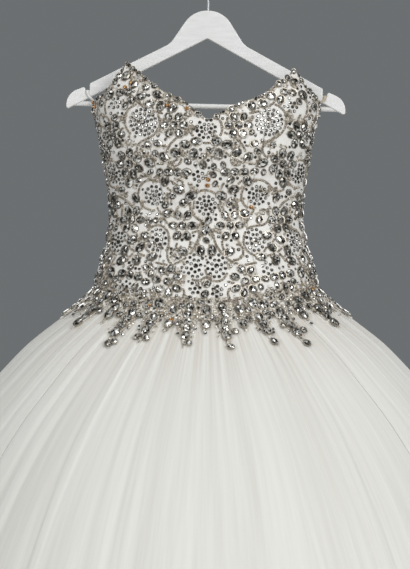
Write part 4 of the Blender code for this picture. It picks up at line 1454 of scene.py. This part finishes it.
def bodice():
    finish = satin_finish()

    def line(share):
        return lambda level: np.full(np.shape(level), share)

    def left_princess(level):
        return -princess_share(level)

    satin_panel("bodice_center_front_satin", left_princess, princess_share, finish)
    satin_panel("bodice_side_front_left_satin", line(-QUARTER), left_princess, finish)
    satin_panel("bodice_side_front_right_satin", princess_share, line(QUARTER), finish)
    satin_panel("bodice_back_left_satin", line(-0.5), line(-QUARTER), finish)
    satin_panel("bodice_back_right_satin", line(QUARTER), line(0.5), finish)


# Beading

def on_bodice(stone, above_margin=1.5, below_margin=6):
    """Whether a stone lies on the bodice with its tips clear of the edges."""
    turn = math.radians(stone.angle)
    aside = turn + math.radians(90)
    length = stone.length / 2
    width = stone.width / 2
    places = [(stone.share, stone.level)]
    for way, reach in ((turn, length), (turn, -length), (aside, width), (aside, -width)):
        places.append(towards(stone.share, stone.level, way, reach))
    shares, levels = np.array(places).T
    above = neck_level(shares) + above_margin
    below = edge_level(np.abs(shares)) + below_margin
    return bool(np.all((levels > above) & (levels < below)))


def cord_path(nodes, pitch):
    """Evenly spaced places along a smooth curve through the nodes."""
    nodes = np.array(nodes)[:, :2]
    nodes = np.concatenate((nodes[:1], nodes, nodes[-1:]))
    fine = []
    for number in range(len(nodes) - 3):
        for step in range(CORD_STEPS):
            fine.append(curve_point(*nodes[number:number + 4], step / CORD_STEPS))
    fine = np.array(fine + [nodes[-1]])
    points = surface(fine[:, 0], fine[:, 1])
    run = np.concatenate(([0], np.cumsum(np.linalg.norm(np.diff(points, axis=0), axis=1))))
    at = np.arange(0, run[-1], pitch)
    return np.stack((np.interp(at, run, fine[:, 0]), np.interp(at, run, fine[:, 1])), axis=1)


def walk(share, level, heading, parts, pitch):
    """Places along a cord that bends by so many degrees a millimetre, and its spiral's middle."""
    places = []
    bend = 0.0
    for part in parts:
        steps = max(1, round(part.length / pitch))
        for step in range(steps):
            places.append((share, level))
            share, level = towards(share, level, math.radians(heading), pitch)
            bend = part.bend_start + (part.bend_end - part.bend_start) * step / steps
            heading += bend * pitch
    radius = DEGREES_ROUND / max(abs(bend), LEAST_BEND)
    aside = math.radians(heading + math.copysign(90, bend))
    return np.array(places), towards(share, level, aside, radius)


class Ground:
    """The circles on the gown that are already covered, sorted into cells."""

    NEAR = [(x, y, z) for x in (-1, 0, 1) for y in (-1, 0, 1) for z in (-1, 0, 1)]

    def __init__(self):
        self.cells = {}

    def cell(self, point):
        return tuple(int(value // GROUND_CELL) for value in point)

    def cover(self, point, radius):
        self.cells.setdefault(self.cell(point), []).append((point, radius))

    def free(self, point, radius):
        x, y, z = self.cell(point)
        for step in self.NEAR:
            for other, reach in self.cells.get((x + step[0], y + step[1], z + step[2]), ()):
                if math.dist(point, other) < radius + reach:
                    return False
        return True


def stone_circles(stones):
    """For each stone the circles along its length that stand for it."""
    share, level, angle, length, width = np.array(stones, float).T
    points, around, down, _ = frames(share, level)
    turn = np.radians(angle)[:, None]
    along = around * np.cos(turn) + down * np.sin(turn)
    reach = ((length - width) / 2)[:, None]
    rows = [(points + along * reach * shift).tolist() for shift in (-1, 0, 1)]
    return [(spots, size / 2) for spots, size in zip(zip(*rows), width.tolist())]


def cover_all(ground, stones):
    for spots, radius in stone_circles(stones):
        for spot in spots:
            ground.cover(spot, radius)


def settle(ground, stones, spacing):
    """The stones that find free ground, one after another; each then covers its own place."""
    if not stones:
        return []
    kept = []
    for stone, (spots, radius) in zip(stones, stone_circles(stones)):
        if all(ground.free(spot, radius + spacing) for spot in spots):
            kept.append(stone)
            for spot in spots:
                ground.cover(spot, radius)
    return kept


def inside_bodice(share, level, margin):
    share = np.asarray(share)
    level = np.asarray(level)
    above = neck_level(share) + margin
    below = edge_level(share) - margin * LOWER_MARGIN_SHARE
    return (level > above) & (level < below)


def jittered(dice, grid):
    """Places on a jittered grid round the whole gown."""
    places = []
    level = grid.top
    odd_row = False
    while level < grid.bottom:
        step = grid.pitch / girth(level)
        share = np.arange(-0.5 + (step / 2 if odd_row else 0), 0.5, step)
        share = share + dice.uniform(-grid.jitter, grid.jitter, len(share)) * step
        levels = level + dice.uniform(-grid.jitter, grid.jitter, len(share)) * grid.pitch
        places.append(np.stack((share, levels), axis=1))
        level += grid.pitch * GRID_ROW_STEP / slant(level)
        odd_row = not odd_row
    return np.concatenate(places)


def round_stone(share, level, size):
    return Stone(share, level, 0.0, size, size)


def medallion_sites():
    """The round fields on both sides, with the middle of each."""
    for medallion in MEDALLIONS:
        for sign in (1, -1) if medallion.share else (1,):
            yield medallion.share * sign, medallion


def medallion_stones(ground):
    """A larger stone in the middle of each round field and rings of small ones about it."""
    stones = []
    for share, medallion in medallion_sites():
        stones.append(round_stone(share, medallion.level, MEDALLION_HEART))
        radius = MEDALLION_PITCH + MEDALLION_START
        while radius <= medallion.radius:
            count = int(2 * math.pi * radius / MEDALLION_PITCH)
            for number in range(count):
                turn = 2 * math.pi * (number + radius / MEDALLION_TWIST) / count
                place = towards(share, medallion.level, turn, radius)
                stones.append(round_stone(*place, MEDALLION_STONE))
            radius += MEDALLION_PITCH * MEDALLION_RING_STEP
    stones = [stone for stone in stones if on_bodice(stone, STONE_MARGIN, MEDALLION_MARGIN_BELOW)]
    return settle(ground, stones, -MEDALLION_OVERLAP)


def medallion_cord(share, medallion, dice):
    """A cord that runs most of the way round a field and curls away from it."""
    radius = medallion.radius + CORD_ROOM
    start = dice.uniform(0, 2 * math.pi)
    place = towards(share, medallion.level, start, radius)
    bend = DEGREES_ROUND / radius
    parts = (
        CordPart(2 * math.pi * radius * dice.uniform(*CORD_TURNS), bend, bend),
        CordPart(LEAVING_LENGTH, bend, LEAVING_BEND),
        FIELD_SPIRAL,
    )
    return walk(*place, math.degrees(start) + 90, parts, CORD_PITCH)


def curl_cord(curl, sign):
    """A cord that ends in a spiral, on one side or mirrored on the other."""
    heading = curl.heading if sign > 0 else 180 - curl.heading
    bend = curl.bend * sign
    spiral = math.copysign(SPIRAL_BEND, bend)
    parts = (
        CordPart(curl.length * CURL_START.length, bend * CURL_START.bend_start, bend * CURL_START.bend_end),
        CordPart(curl.length * CURL_END.length, bend * CURL_END.bend_start, spiral),
    )
    return walk(curl.share * sign, curl.level, heading, parts, CORD_PITCH)


def cord_routes():
    """The places of each cord on both sides of the gown, and the middle of its spiral."""
    dice = random.Random(CORD_SEED)
    for scroll in SCROLLS:
        path = cord_path(scroll_nodes(scroll), CORD_PITCH)
        yield path, None
        yield path * (-1, 1), None
    for share, medallion in medallion_sites():
        yield medallion_cord(share, medallion, dice)
    for curl in CURLS:
        for sign in (1, -1):
            yield curl_cord(curl, sign)


def cords(ground):
    """Bead places of all cords, and the round stones in their curls."""
    beads = []
    hearts = []
    for path, middle in cord_routes():
        path = path[inside_bodice(path[:, 0], path[:, 1], CORD_MARGIN)]
        if not len(path):
            continue
        points = surface(path[:, 0], path[:, 1]).tolist()
        free = [ground.free(point, CORD_BEAD / 2 - CORD_OVERLAP) for point in points]
        beads.extend(place for place, is_free in zip(path.tolist(), free) if is_free)
        if middle is not None:
            hearts.extend(settle(ground, [round_stone(*middle, HEART_STONE)], -HEART_OVERLAP))
        for point, is_free in zip(points, free):
            if is_free:
                ground.cover(point, CORD_BEAD / 2)
    hearts = [heart for heart in hearts if on_bodice(heart)]
    return [round_stone(*place, CORD_BEAD) for place in beads], hearts


def flower_stones(ground):
    """Small six-petalled flowers where the ground is free."""
    dice = np.random.default_rng(FLOWER_SEED)
    stones = []
    for share, level in jittered(dice, FLOWER_GRID):
        if not inside_bodice(share, level, FLOWER_MARGIN):
            continue
        point = surface(share, level).tolist()
        if not ground.free(point, FLOWER_REACH):
            continue
        ground.cover(point, FLOWER_REACH)
        stones.append(round_stone(share, level, FLOWER_STONE))
        turn = dice.uniform(0, math.pi)
        for petal in range(FLOWER_PETALS):
            place = towards(share, level, turn + petal * math.pi / 3, FLOWER_RING)
            stones.append(round_stone(*place, FLOWER_STONE))
    return stones


def border_stones(ground):
    """Stones of mixed sizes along the neckline, some of them over its edge."""
    dice = random.Random(BORDER_SEED)
    fine = np.arange(-BORDER_SHARE, BORDER_SHARE, BORDER_SHARE_STEP)
    run = np.linalg.norm(np.diff(surface(fine, neck_level(fine)), axis=0), axis=1)
    run = np.concatenate(([0], np.cumsum(run)))
    large = []
    small = []
    at = BORDER_END
    while at < run[-1] - BORDER_END:
        size = dice.choice(BORDER_SIZES)
        share = float(np.interp(at + size / 2, run, fine))
        level = float(neck_level(share)) + size * BORDER_DROP
        if size < BORDER_LARGE:
            small.append(round_stone(share, level, size))
        else:
            large.append(Stone(share, level, dice.uniform(0, 180), size, size * BORDER_WIDTH))
        at += size * BORDER_STEP
    return settle(ground, large, -BORDER_OVERLAP), settle(ground, small, -BORDER_SMALL_OVERLAP)


def extra_stones(ground):
    """Plump ovals between the motifs, which leave some patches of satin bare."""
    dice = np.random.default_rng(EXTRA_SEED)
    for share, level in jittered(dice, PATCH_GRID):
        point = surface(share, level).tolist()
        size = dice.uniform(*PATCH_SIZES)
        if ground.free(point, size * PATCH_ROOM):
            ground.cover(point, size)
    places = jittered(dice, EXTRA_GRID)
    dice.shuffle(places)
    stones = []
    for share, level in places:
        length = dice.uniform(*EXTRA_LENGTHS)
        width = length * dice.uniform(*EXTRA_WIDTHS)
        stone = Stone(share, level, dice.uniform(0, 180), length, width)
        if level > BAND_LEVEL and dice.random() < EXTRA_BAND_GAPS:
            continue
        if level < FRINGE_LEVEL and on_bodice(stone, STONE_MARGIN, FRINGE):
            stones.append(stone)
    return settle(ground, stones, EXTRA_SPACING)


def small_stones(ground):
    """Small round stones in what is left, thickest along the lower edge."""
    dice = np.random.default_rng(SMALL_SEED)
    stones = []
    for share, level in jittered(dice, SMALL_GRID):
        stone = round_stone(share, level, dice.uniform(*SMALL_SIZES))
        wanted = level > BAND_LEVEL or dice.random() < SMALL_SHARE
        if wanted and level < FRINGE_LEVEL and on_bodice(stone, STONE_MARGIN, FRINGE):
            stones.append(stone)
    return settle(ground, stones, SMALL_SPACING)


def spray_clusters(ground):
    """Extra ovals at the tips of the sprays and small stones along their sides."""
    dice = random.Random(SPRAY_SEED)
    large = []
    small = []
    for spray in SPRAYS:
        for sign in (1, -1) if spray.share else (1,):
            share = spray.share * sign
            for leaf in SPRAY_LEAVES:
                if dice.random() < SPRAY_LEAF_GAPS:
                    continue
                across = leaf.side * dice.uniform(*SPRAY_ASIDE)
                place = moved(share, spray.tip, across, -leaf.back * dice.uniform(*SPRAY_BACK))
                angle = 90 - math.copysign(SPRAY_LEAF_TURN, leaf.side) * dice.uniform(*SPRAY_TURN)
                large.append(Stone(*place, angle, leaf.size, leaf.size * SPRAY_LEAF_WIDTH))
            nearest, farthest = SPRAY_DOT_BACK
            for _ in range(SPRAY_DOTS):
                across = dice.uniform(-SPRAY_DOT_REACH, SPRAY_DOT_REACH)
                place = moved(share, spray.tip, across, -dice.uniform(nearest + abs(across), farthest))
                small.append(round_stone(*place, dice.uniform(*SPRAY_DOT_SIZES)))
    return settle(ground, large, SPRAY_SPACING), settle(ground, small, SMALL_SPACING)


def raised_stones():
    """The CAD's large crystals, a little larger than there, so that they cover its raised ones."""
    return [
        stone._replace(length=stone.length * RAISED_GROWTH, width=stone.width * RAISED_GROWTH)
        for stone in whole_layout()
        if on_bodice(stone)
    ]


def beading():
    """Lay out all stones and beads, each kind on the ground that is still free, and stamp them."""
    rims = metal_finish("stone_settings", RIM_COLOUR, RIM_ROUGHNESS)
    glasses = (CLEAR_GLASS, SMALL_GLASS, BRONZE_BEADS, AMBER_GLASS, BEIGE_BEADS)
    clear, strass, bronze, amber, beige = (gem_finish(glass) for glass in glasses)

    ground = Ground()
    raised = raised_stones()
    cover_all(ground, raised)
    ambers = [Stone(*spot, AMBER_ANGLE, AMBER_LENGTH, AMBER_WIDTH) for spot in AMBER_SPOTS]
    cover_all(ground, ambers)
    border_large, border_small = border_stones(ground)
    fields = medallion_stones(ground)
    tips, tip_dots = spray_clusters(ground)
    cord_beads, hearts = cords(ground)
    flowers = flower_stones(ground)
    fitted = extra_stones(ground) + tips + border_large
    loose = small_stones(ground) + tip_dots + border_small

    rounds = []
    leaves = []
    ovals = []
    for number, stone in enumerate(raised):
        long_ones = ovals if number % LEAF_EVERY else leaves
        (rounds if stone.length == stone.width else long_ones).append(stone)
    dice = np.random.default_rng(BEIGE_SEED)
    plain = []
    beige_ones = []
    for stone, draw in zip(loose, dice.random(len(loose))):
        is_beige = draw < BEIGE_SHARE and stone.level > BAND_LEVEL
        (beige_ones if is_beige else plain).append(stone)

    leaf_gem = gem_template(LEAF_POINT, LEAF_TABLE)
    oval_gem = gem_template(OVAL_POINT, STONE_TABLE)
    round_gem = gem_template(1, STONE_TABLE)
    leaf_rim = setting_template(LEAF_POINT, RIM_REACH)
    oval_rim = setting_template(RIM_POINT, RIM_REACH)
    fitted_rim = setting_template(OVAL_POINT, FITTED_RIM_REACH)
    small_gem = small_gem_template(FIELD_SIDES)
    loose_gem = small_gem_template(LOOSE_SIDES)
    bead = bead_template()
    for batch in (
        Batch("crystals_leaf", leaf_gem, leaves, CRYSTAL_HEIGHT, clear, 3),
        Batch("crystals_oval", oval_gem, ovals, CRYSTAL_HEIGHT, clear, 4),
        Batch("crystals_round", round_gem, rounds, CRYSTAL_HEIGHT, clear, 5),
        Batch("crystals_fitted", oval_gem, fitted, EXTRA_HEIGHT, clear, 6),
        Batch("settings_leaf", leaf_rim, leaves, CRYSTAL_HEIGHT, rims, 3),
        Batch("settings_raised", oval_rim, ovals + rounds, CRYSTAL_HEIGHT, rims, 4),
        Batch("settings_fitted", fitted_rim, fitted, EXTRA_HEIGHT, rims, 6),
        Batch("crystals_field", small_gem, fields, FIELD_HEIGHT, strass, 11, tones=FIELD_TONES),
        Batch("crystals_flower", small_gem, flowers + hearts, FIELD_HEIGHT, strass, 12),
        Batch("crystals_small", loose_gem, plain, LOOSE_HEIGHT, strass, 13),
        Batch("beige_beads", bead, beige_ones, BEIGE_HEIGHT, beige, 15, tones=BEIGE_TONES, tilt=BEAD_TILT),
        Batch("amber_stones", round_gem, ambers, AMBER_HEIGHT, amber, 14, AMBER_LIFT),
        Batch("bead_cords", bead, cord_beads, CORD_HEIGHT, bronze, 16, CORD_LIFT, CORD_TONES, BEAD_TILT),
    ):
        stamp(batch)


# Skirt

def fold_columns(dice, count, start, end):
    """Columns across a panel, as in the CAD: share at the waist and hem, depth at both."""
    widths = [dice.uniform(*FOLD_WIDTHS) for _ in range(count)]
    drifts = [0] + [dice.uniform(-FOLD_DRIFT, FOLD_DRIFT) for _ in range(count - 1)] + [0]
    scale = (end - start) / sum(widths)
    columns = []
    edge = start
    for number, width in enumerate(widths):
        waist_depth = dice.uniform(*WAIST_DEPTHS)
        hem_depth = dice.uniform(*HEM_DEPTHS)
        for point in FOLD_POINTS:
            lean = drifts[number] + (drifts[number + 1] - drifts[number]) * point.across
            depths = (waist_depth * point.depth, hem_depth * point.depth)
            if number == 0 and point.across == 0:
                depths = (SEAM_VALLEY, SEAM_VALLEY)
            share = edge + point.across * width * scale
            columns.append((share, share + lean * scale, *depths))
        edge += width * scale
    columns.append((end, end, SEAM_VALLEY, SEAM_VALLEY))
    return np.array(columns)


def skirt_levels():
    steps = np.linspace(0, 1, SKIRT_ROWS) ** SKIRT_ROW_GROWTH
    return SKIRT_TOP + (SKIRT_HEM - SKIRT_TOP) * steps


def fold_depth(level):
    """How deep the CAD's folds are at a level."""
    levels, depths = np.array(FOLD_DEPTHS, float).T
    return smooth_curve(level, levels, depths, smooth_slopes(levels, depths))


def gather_depth(number, folds, spots, level):
    """Depth of a panel's fine gathers, each with its own strength and place."""
    dice = np.random.default_rng(GATHER_SEED + number)
    gathers = folds * FINE_PER_FOLD
    strength = dice.uniform(*GATHER_STRENGTHS, gathers + 1)
    wander = dice.uniform(-GATHER_WANDER, GATHER_WANDER, gathers + 1)
    across = spots / spots[-1] * gathers
    places = np.arange(gathers + 1)
    wave = 0.5 + 0.5 * np.cos(2 * math.pi * (across + np.interp(across, places, wander)))
    wave *= np.interp(across, places, strength)
    levels, depths = np.array(GATHER_DEPTHS).T
    return np.interp(level, levels, depths)[:, None] * wave[None, :]


def skirt_panel(number, panel):
    """One gathered panel, with the CAD's folds made shallow and fine gathers over them."""
    columns = fold_columns(random.Random(FOLD_SEED + number), panel.folds, panel.start, panel.end)
    per_column = FINE_PER_FOLD * POINTS_PER_FINE // len(FOLD_POINTS)
    spots = np.arange(0, (len(columns) - 1) * per_column + 1) / per_column
    index = np.minimum(spots.astype(int), len(columns) - 2)
    part = spots - index
    eased = part * part * (3 - 2 * part)

    def across(column, amount):
        here = columns[index, column]
        return here + (columns[index + 1, column] - here) * amount

    waist = across(0, part)
    hem = across(1, part)
    near = across(2, eased)
    far = across(3, eased)
    level = skirt_levels()
    lowered = (level - SKIRT_TOP) / (SKIRT_HEM - SKIRT_TOP)
    share = waist[None, :] + (hem - waist)[None, :] * np.minimum(1, 2 * lowered)[:, None]
    folds = near[None, :] + (far - near)[None, :] * lowered[:, None]
    depth = FOLD_SOFTNESS * fold_depth(level)[:, None] * folds
    depth = depth + gather_depth(number, panel.folds, spots, level)
    gap = SEAM_GAP / 2 / np.interp(level, LEVELS, GIRTHS)
    share[:, 0] += gap
    share[:, -1] -= gap
    grid_level = np.broadcast_to(level[:, None], share.shape)
    outer = offset(share, grid_level, -depth)
    inner = offset(share, grid_level, -depth - TULLE_WALL)
    widths = np.broadcast_to(waist[None, :] * TULLE_ROUND, share.shape)
    cloth = np.stack((widths, grid_level, np.full(share.shape, TULLE_PANEL_STEP * number)), -1)
    name = "skirt_" + panel.name
    mesh = shell_mesh(name + "_tulle", outer, inner, cloth)
    piece = add_piece(name + "_tulle", mesh, tulle_finish("tulle_" + panel.name), (name,))
    turn = panel.end - panel.start
    waist_width = turn * girth(WAIST_SEAM) * MM * WAIST_FULLNESS
    length = float(np.linalg.norm(np.diff(outer[:, 0], axis=0), axis=-1).sum()) * MM


def skirt():
    for number, panel in enumerate(SKIRT_PANELS):
        skirt_panel(number, panel)


# Hanger

def tilted(x, z):
    """Places in the hanger's plane, turned with it about the hook."""
    turn = math.radians(HANGER_TILT)
    return x * math.cos(turn) + z * math.sin(turn), z * math.cos(turn) - x * math.sin(turn)


def rounded(before, corner, after, steps):
    """An arc of the corner's radius in place of the corner."""
    middle = Vector((corner.x, corner.drop))
    back = (Vector((before.x, before.drop)) - middle).normalized()
    ahead = (Vector((after.x, after.drop)) - middle).normalized()
    half_angle = back.angle(ahead) / 2
    reach = corner.radius / math.tan(half_angle)
    centre = middle + (back + ahead).normalized() * corner.radius / math.sin(half_angle)
    start = middle + back * reach - centre
    end = middle + ahead * reach - centre
    sweep = start.angle_signed(end)
    points = []
    for step in range(steps + 1):
        turned = start.copy()
        turned.rotate(Matrix.Rotation(-sweep * step / steps, 2))
        points.append(centre + turned)
    return points


def hanger_outline():
    """The hanger's outline and the inward direction at each of its points."""
    left_half = [corner._replace(x=-corner.x) for corner in HANGER_RIGHT_HALF]
    corners = HANGER_RIGHT_HALF + [HANGER_APEX] + left_half[::-1]
    points = []
    for number, corner in enumerate(corners):
        after = corners[(number + 1) % len(corners)]
        steps = WIDE_ARC_STEPS if corner.radius > WIDE_ARC_RADIUS else ARC_STEPS
        for point in rounded(corners[number - 1], corner, after, steps):
            points.append(tilted(point.x, -point.y))
    points = np.array(points)
    ahead = unit(np.roll(points, -1, axis=0) - points)
    along = unit(ahead + np.roll(ahead, 1, axis=0))
    return points, np.stack((along[:, 1], -along[:, 0]), -1)


def hanger_body(finish):
    """The wooden body: rings from the front face round the rounded edge to the back face."""
    points, inward = hanger_outline()
    rings = []
    for face, turn in EDGE_TURNS:
        turn = math.radians(turn)
        drawn_in = points + inward * HANGER_ROUNDING * (1 - math.cos(turn))
        y = face * (HANGER_THICKNESS / 2 - HANGER_ROUNDING * (1 - math.sin(turn)))
        rings.append(np.stack((drawn_in[:, 0], np.full(len(points), y), drawn_in[:, 1]), -1))
    count = len(points)
    sides = np.roll(ring_faces(len(rings), count)[:, ::-1], 1, axis=1)
    last = (len(rings) - 1) * count
    corners = np.concatenate((sides.ravel(), np.arange(count), np.arange(last, last + count)[::-1]))
    sizes = np.array([4] * len(sides) + [count, count])
    mesh = build_mesh("hanger_body_wood", np.concatenate(rings), corners, sizes)
    set_smooth(mesh, 2)
    add_piece("hanger_body_wood", mesh, finish, ("hanger_body",))


def wire_mesh(name, path):
    """A round wire along points in the hanger's plane, with flat ends."""
    path = np.array(path, float)
    along = unit(np.gradient(path, axis=0))
    aside = np.array((0.0, 1.0, 0.0))
    other = np.cross(along, aside)
    turns = np.linspace(0, 2 * math.pi, WIRE_SIDES, endpoint=False)[:, None]
    ring = aside * np.cos(turns) + other[:, None] * np.sin(turns)
    points = (path[:, None] + ring * WIRE_RADIUS).reshape(-1, 3)
    sides = ring_faces(len(path), WIRE_SIDES)
    start = np.arange(WIRE_SIDES)
    end = start + (len(path) - 1) * WIRE_SIDES
    corners = np.concatenate((sides.ravel(), start[::-1], end))
    sizes = np.array([4] * len(sides) + [WIRE_SIDES, WIRE_SIDES])
    mesh = build_mesh(name, points, corners, sizes)
    set_smooth(mesh, 2)
    return mesh


def arc(centre, radius, start, end, steps):
    """Points on an arc, from the start angle on, without the last one."""
    angles = [start + (end - start) * step / steps for step in range(steps)]
    return [centre + radius * Vector((math.cos(angle), math.sin(angle))) for angle in angles]


def hook_path():
    """The hook's wire: a straight stem, a small bend and the round hook."""
    hook_centre = Vector((0, -(HOOK_RADIUS - WIRE_RADIUS)))
    between = HOOK_RADIUS + HOOK_BEND_RADIUS
    rise = math.sqrt(between ** 2 - HOOK_BEND_RADIUS ** 2)
    bend_centre = Vector((-HOOK_BEND_RADIUS, hook_centre.y - rise))
    touch = math.atan2(rise, HOOK_BEND_RADIUS)
    stem_height = HOOK_STEM_BOTTOM + bend_centre.y - HOOK_STEM_ROOM
    points = []
    for step in range(HOOK_STEM_STEPS + 1):
        points.append(Vector((0, -HOOK_STEM_BOTTOM + stem_height * step / HOOK_STEM_STEPS)))
    points += arc(bend_centre, HOOK_BEND_RADIUS, 0, touch, HOOK_BEND_STEPS)
    start = math.pi + touch
    end = math.radians(HOOK_TIP_ANGLE)
    points += arc(hook_centre, HOOK_RADIUS, start, end, HOOK_STEPS)
    points.append(hook_centre + HOOK_RADIUS * Vector((math.cos(end), math.sin(end))))
    places = [tilted(point.x, point.y) for point in points]
    return [(x, 0, z) for x, z in places]


def loop_place(point, sign, face):
    """A point of a loop, between the turned hanger above and the gown below."""
    x, z = tilted(point.x * sign, -point.drop)
    on_gown = float(np.interp(point.drop, LOOP_BLEND, (0, 1)))
    x += (point.x * sign + GOWN_SHIFT - x) * on_gown
    z += (-point.drop - z) * on_gown
    return x, point.y * face, z


def loop_path(sign):
    half = [loop_place(point, sign, -1) for point in LOOP_HALF]
    back = [loop_place(point, sign, 1) for point in LOOP_HALF[1:-1]]
    nodes = np.array(half + back[::-1])
    fine = []
    for number in range(len(nodes)):
        four = np.roll(nodes, 1 - number, axis=0)[:4]
        for step in range(LOOP_STEPS):
            fine.append(curve_point(*four, step / LOOP_STEPS))
    return np.array(fine)


def ribbon_mesh(name, path):
    """A flat ribbon along a closed path."""
    along = np.roll(path, -1, axis=0) - np.roll(path, 1, axis=0)
    along[:, 0] = 0
    sideways = np.array((1.0, 0.0, 0.0))
    normal = np.cross(unit(along), sideways)
    rings = []
    for across, out in LOOP_SECTION:
        rings.append(path + sideways * across * LOOP_WIDTH / 2 + normal * out * LOOP_THICKNESS / 2)
    points = np.stack(rings, axis=1).reshape(-1, 3)
    faces = ring_faces(len(path), len(LOOP_SECTION), closed=True)
    mesh = build_mesh(name, points, faces.ravel(), np.full(len(faces), 4))
    shape = bmesh.new()
    shape.from_mesh(mesh)
    bmesh.ops.recalc_face_normals(shape, faces=shape.faces)
    shape.to_mesh(mesh)
    shape.free()
    return mesh


def hanger():
    paint = paint_finish("white_lacquer")
    hanger_body(paint)
    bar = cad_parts["hanger_bar"].data
    bar.materials.clear()
    bar.materials.append(paint)
    wire = metal_finish("plated_wire", WIRE_COLOUR, WIRE_ROUGHNESS)
    name = "hanger_hook_wire"
    add_piece(name, wire_mesh(name, hook_path()), wire, ("hanger_hook",))
    for ribbon in RIBBONS:
        name = "hanger_ribbon_" + ribbon.side
        mesh = ribbon_mesh(name, loop_path(ribbon.sign))
        add_piece(name, mesh, ribbon_finish(ribbon), ("hanger_loop_" + ribbon.side,))


# Stage, lights and camera

def soft_light(row):
    data = bpy.data.lights.new(row.name, "AREA")
    data.shape = "SQUARE"
    data.size = row.size
    data.energy = row.power
    light = bpy.data.objects.new(row.name, data)
    light.location = row.place
    light.rotation_mode = "QUATERNION"
    light.rotation_quaternion = (Vector(LIGHT_TARGET) - Vector(row.place)).to_track_quat("-Z", "Y")
    light.visible_camera = False
    bpy.context.scene.collection.objects.link(light)


def stage():
    mesh = bpy.data.meshes.new("floor")
    corners = ((-1, -1), (1, -1), (1, 1), (-1, 1))
    points = [(x * FLOOR_HALF_SIZE, y * FLOOR_HALF_SIZE, FLOOR_HEIGHT) for x, y in corners]
    mesh.from_pydata(points, [], [(0, 1, 2, 3)])
    floor = bpy.data.objects.new("floor", mesh)
    bpy.context.scene.collection.objects.link(floor)
    mesh.materials.append(new_finish("floor_paper", FLOOR_COLOUR, FLOOR_ROUGHNESS))
    world = bpy.data.worlds.new("studio")
    world.use_nodes = True
    background = world.node_tree.nodes["Background"]
    background.inputs["Color"].default_value = (*BACKDROP, 1)
    background.inputs["Strength"].default_value = 1.0
    bpy.context.scene.world = world
    for row in LIGHTS:
        soft_light(row)


def camera():
    data = bpy.data.cameras.new("camera")
    data.sensor_fit = "HORIZONTAL"
    data.sensor_width = CAMERA_SENSOR
    data.lens = CAMERA_LENS
    eye = bpy.data.objects.new("camera", data)
    eye.location = CAMERA_PLACE
    eye.rotation_euler = (math.radians(90), 0, 0)
    bpy.context.scene.collection.objects.link(eye)
    bpy.context.scene.camera = eye


camera()
stage()
bpy.context.scene.view_settings.view_transform = "Standard"
hanger()
bodice()
beading()
skirt()

bpy.context.view_layer.update()
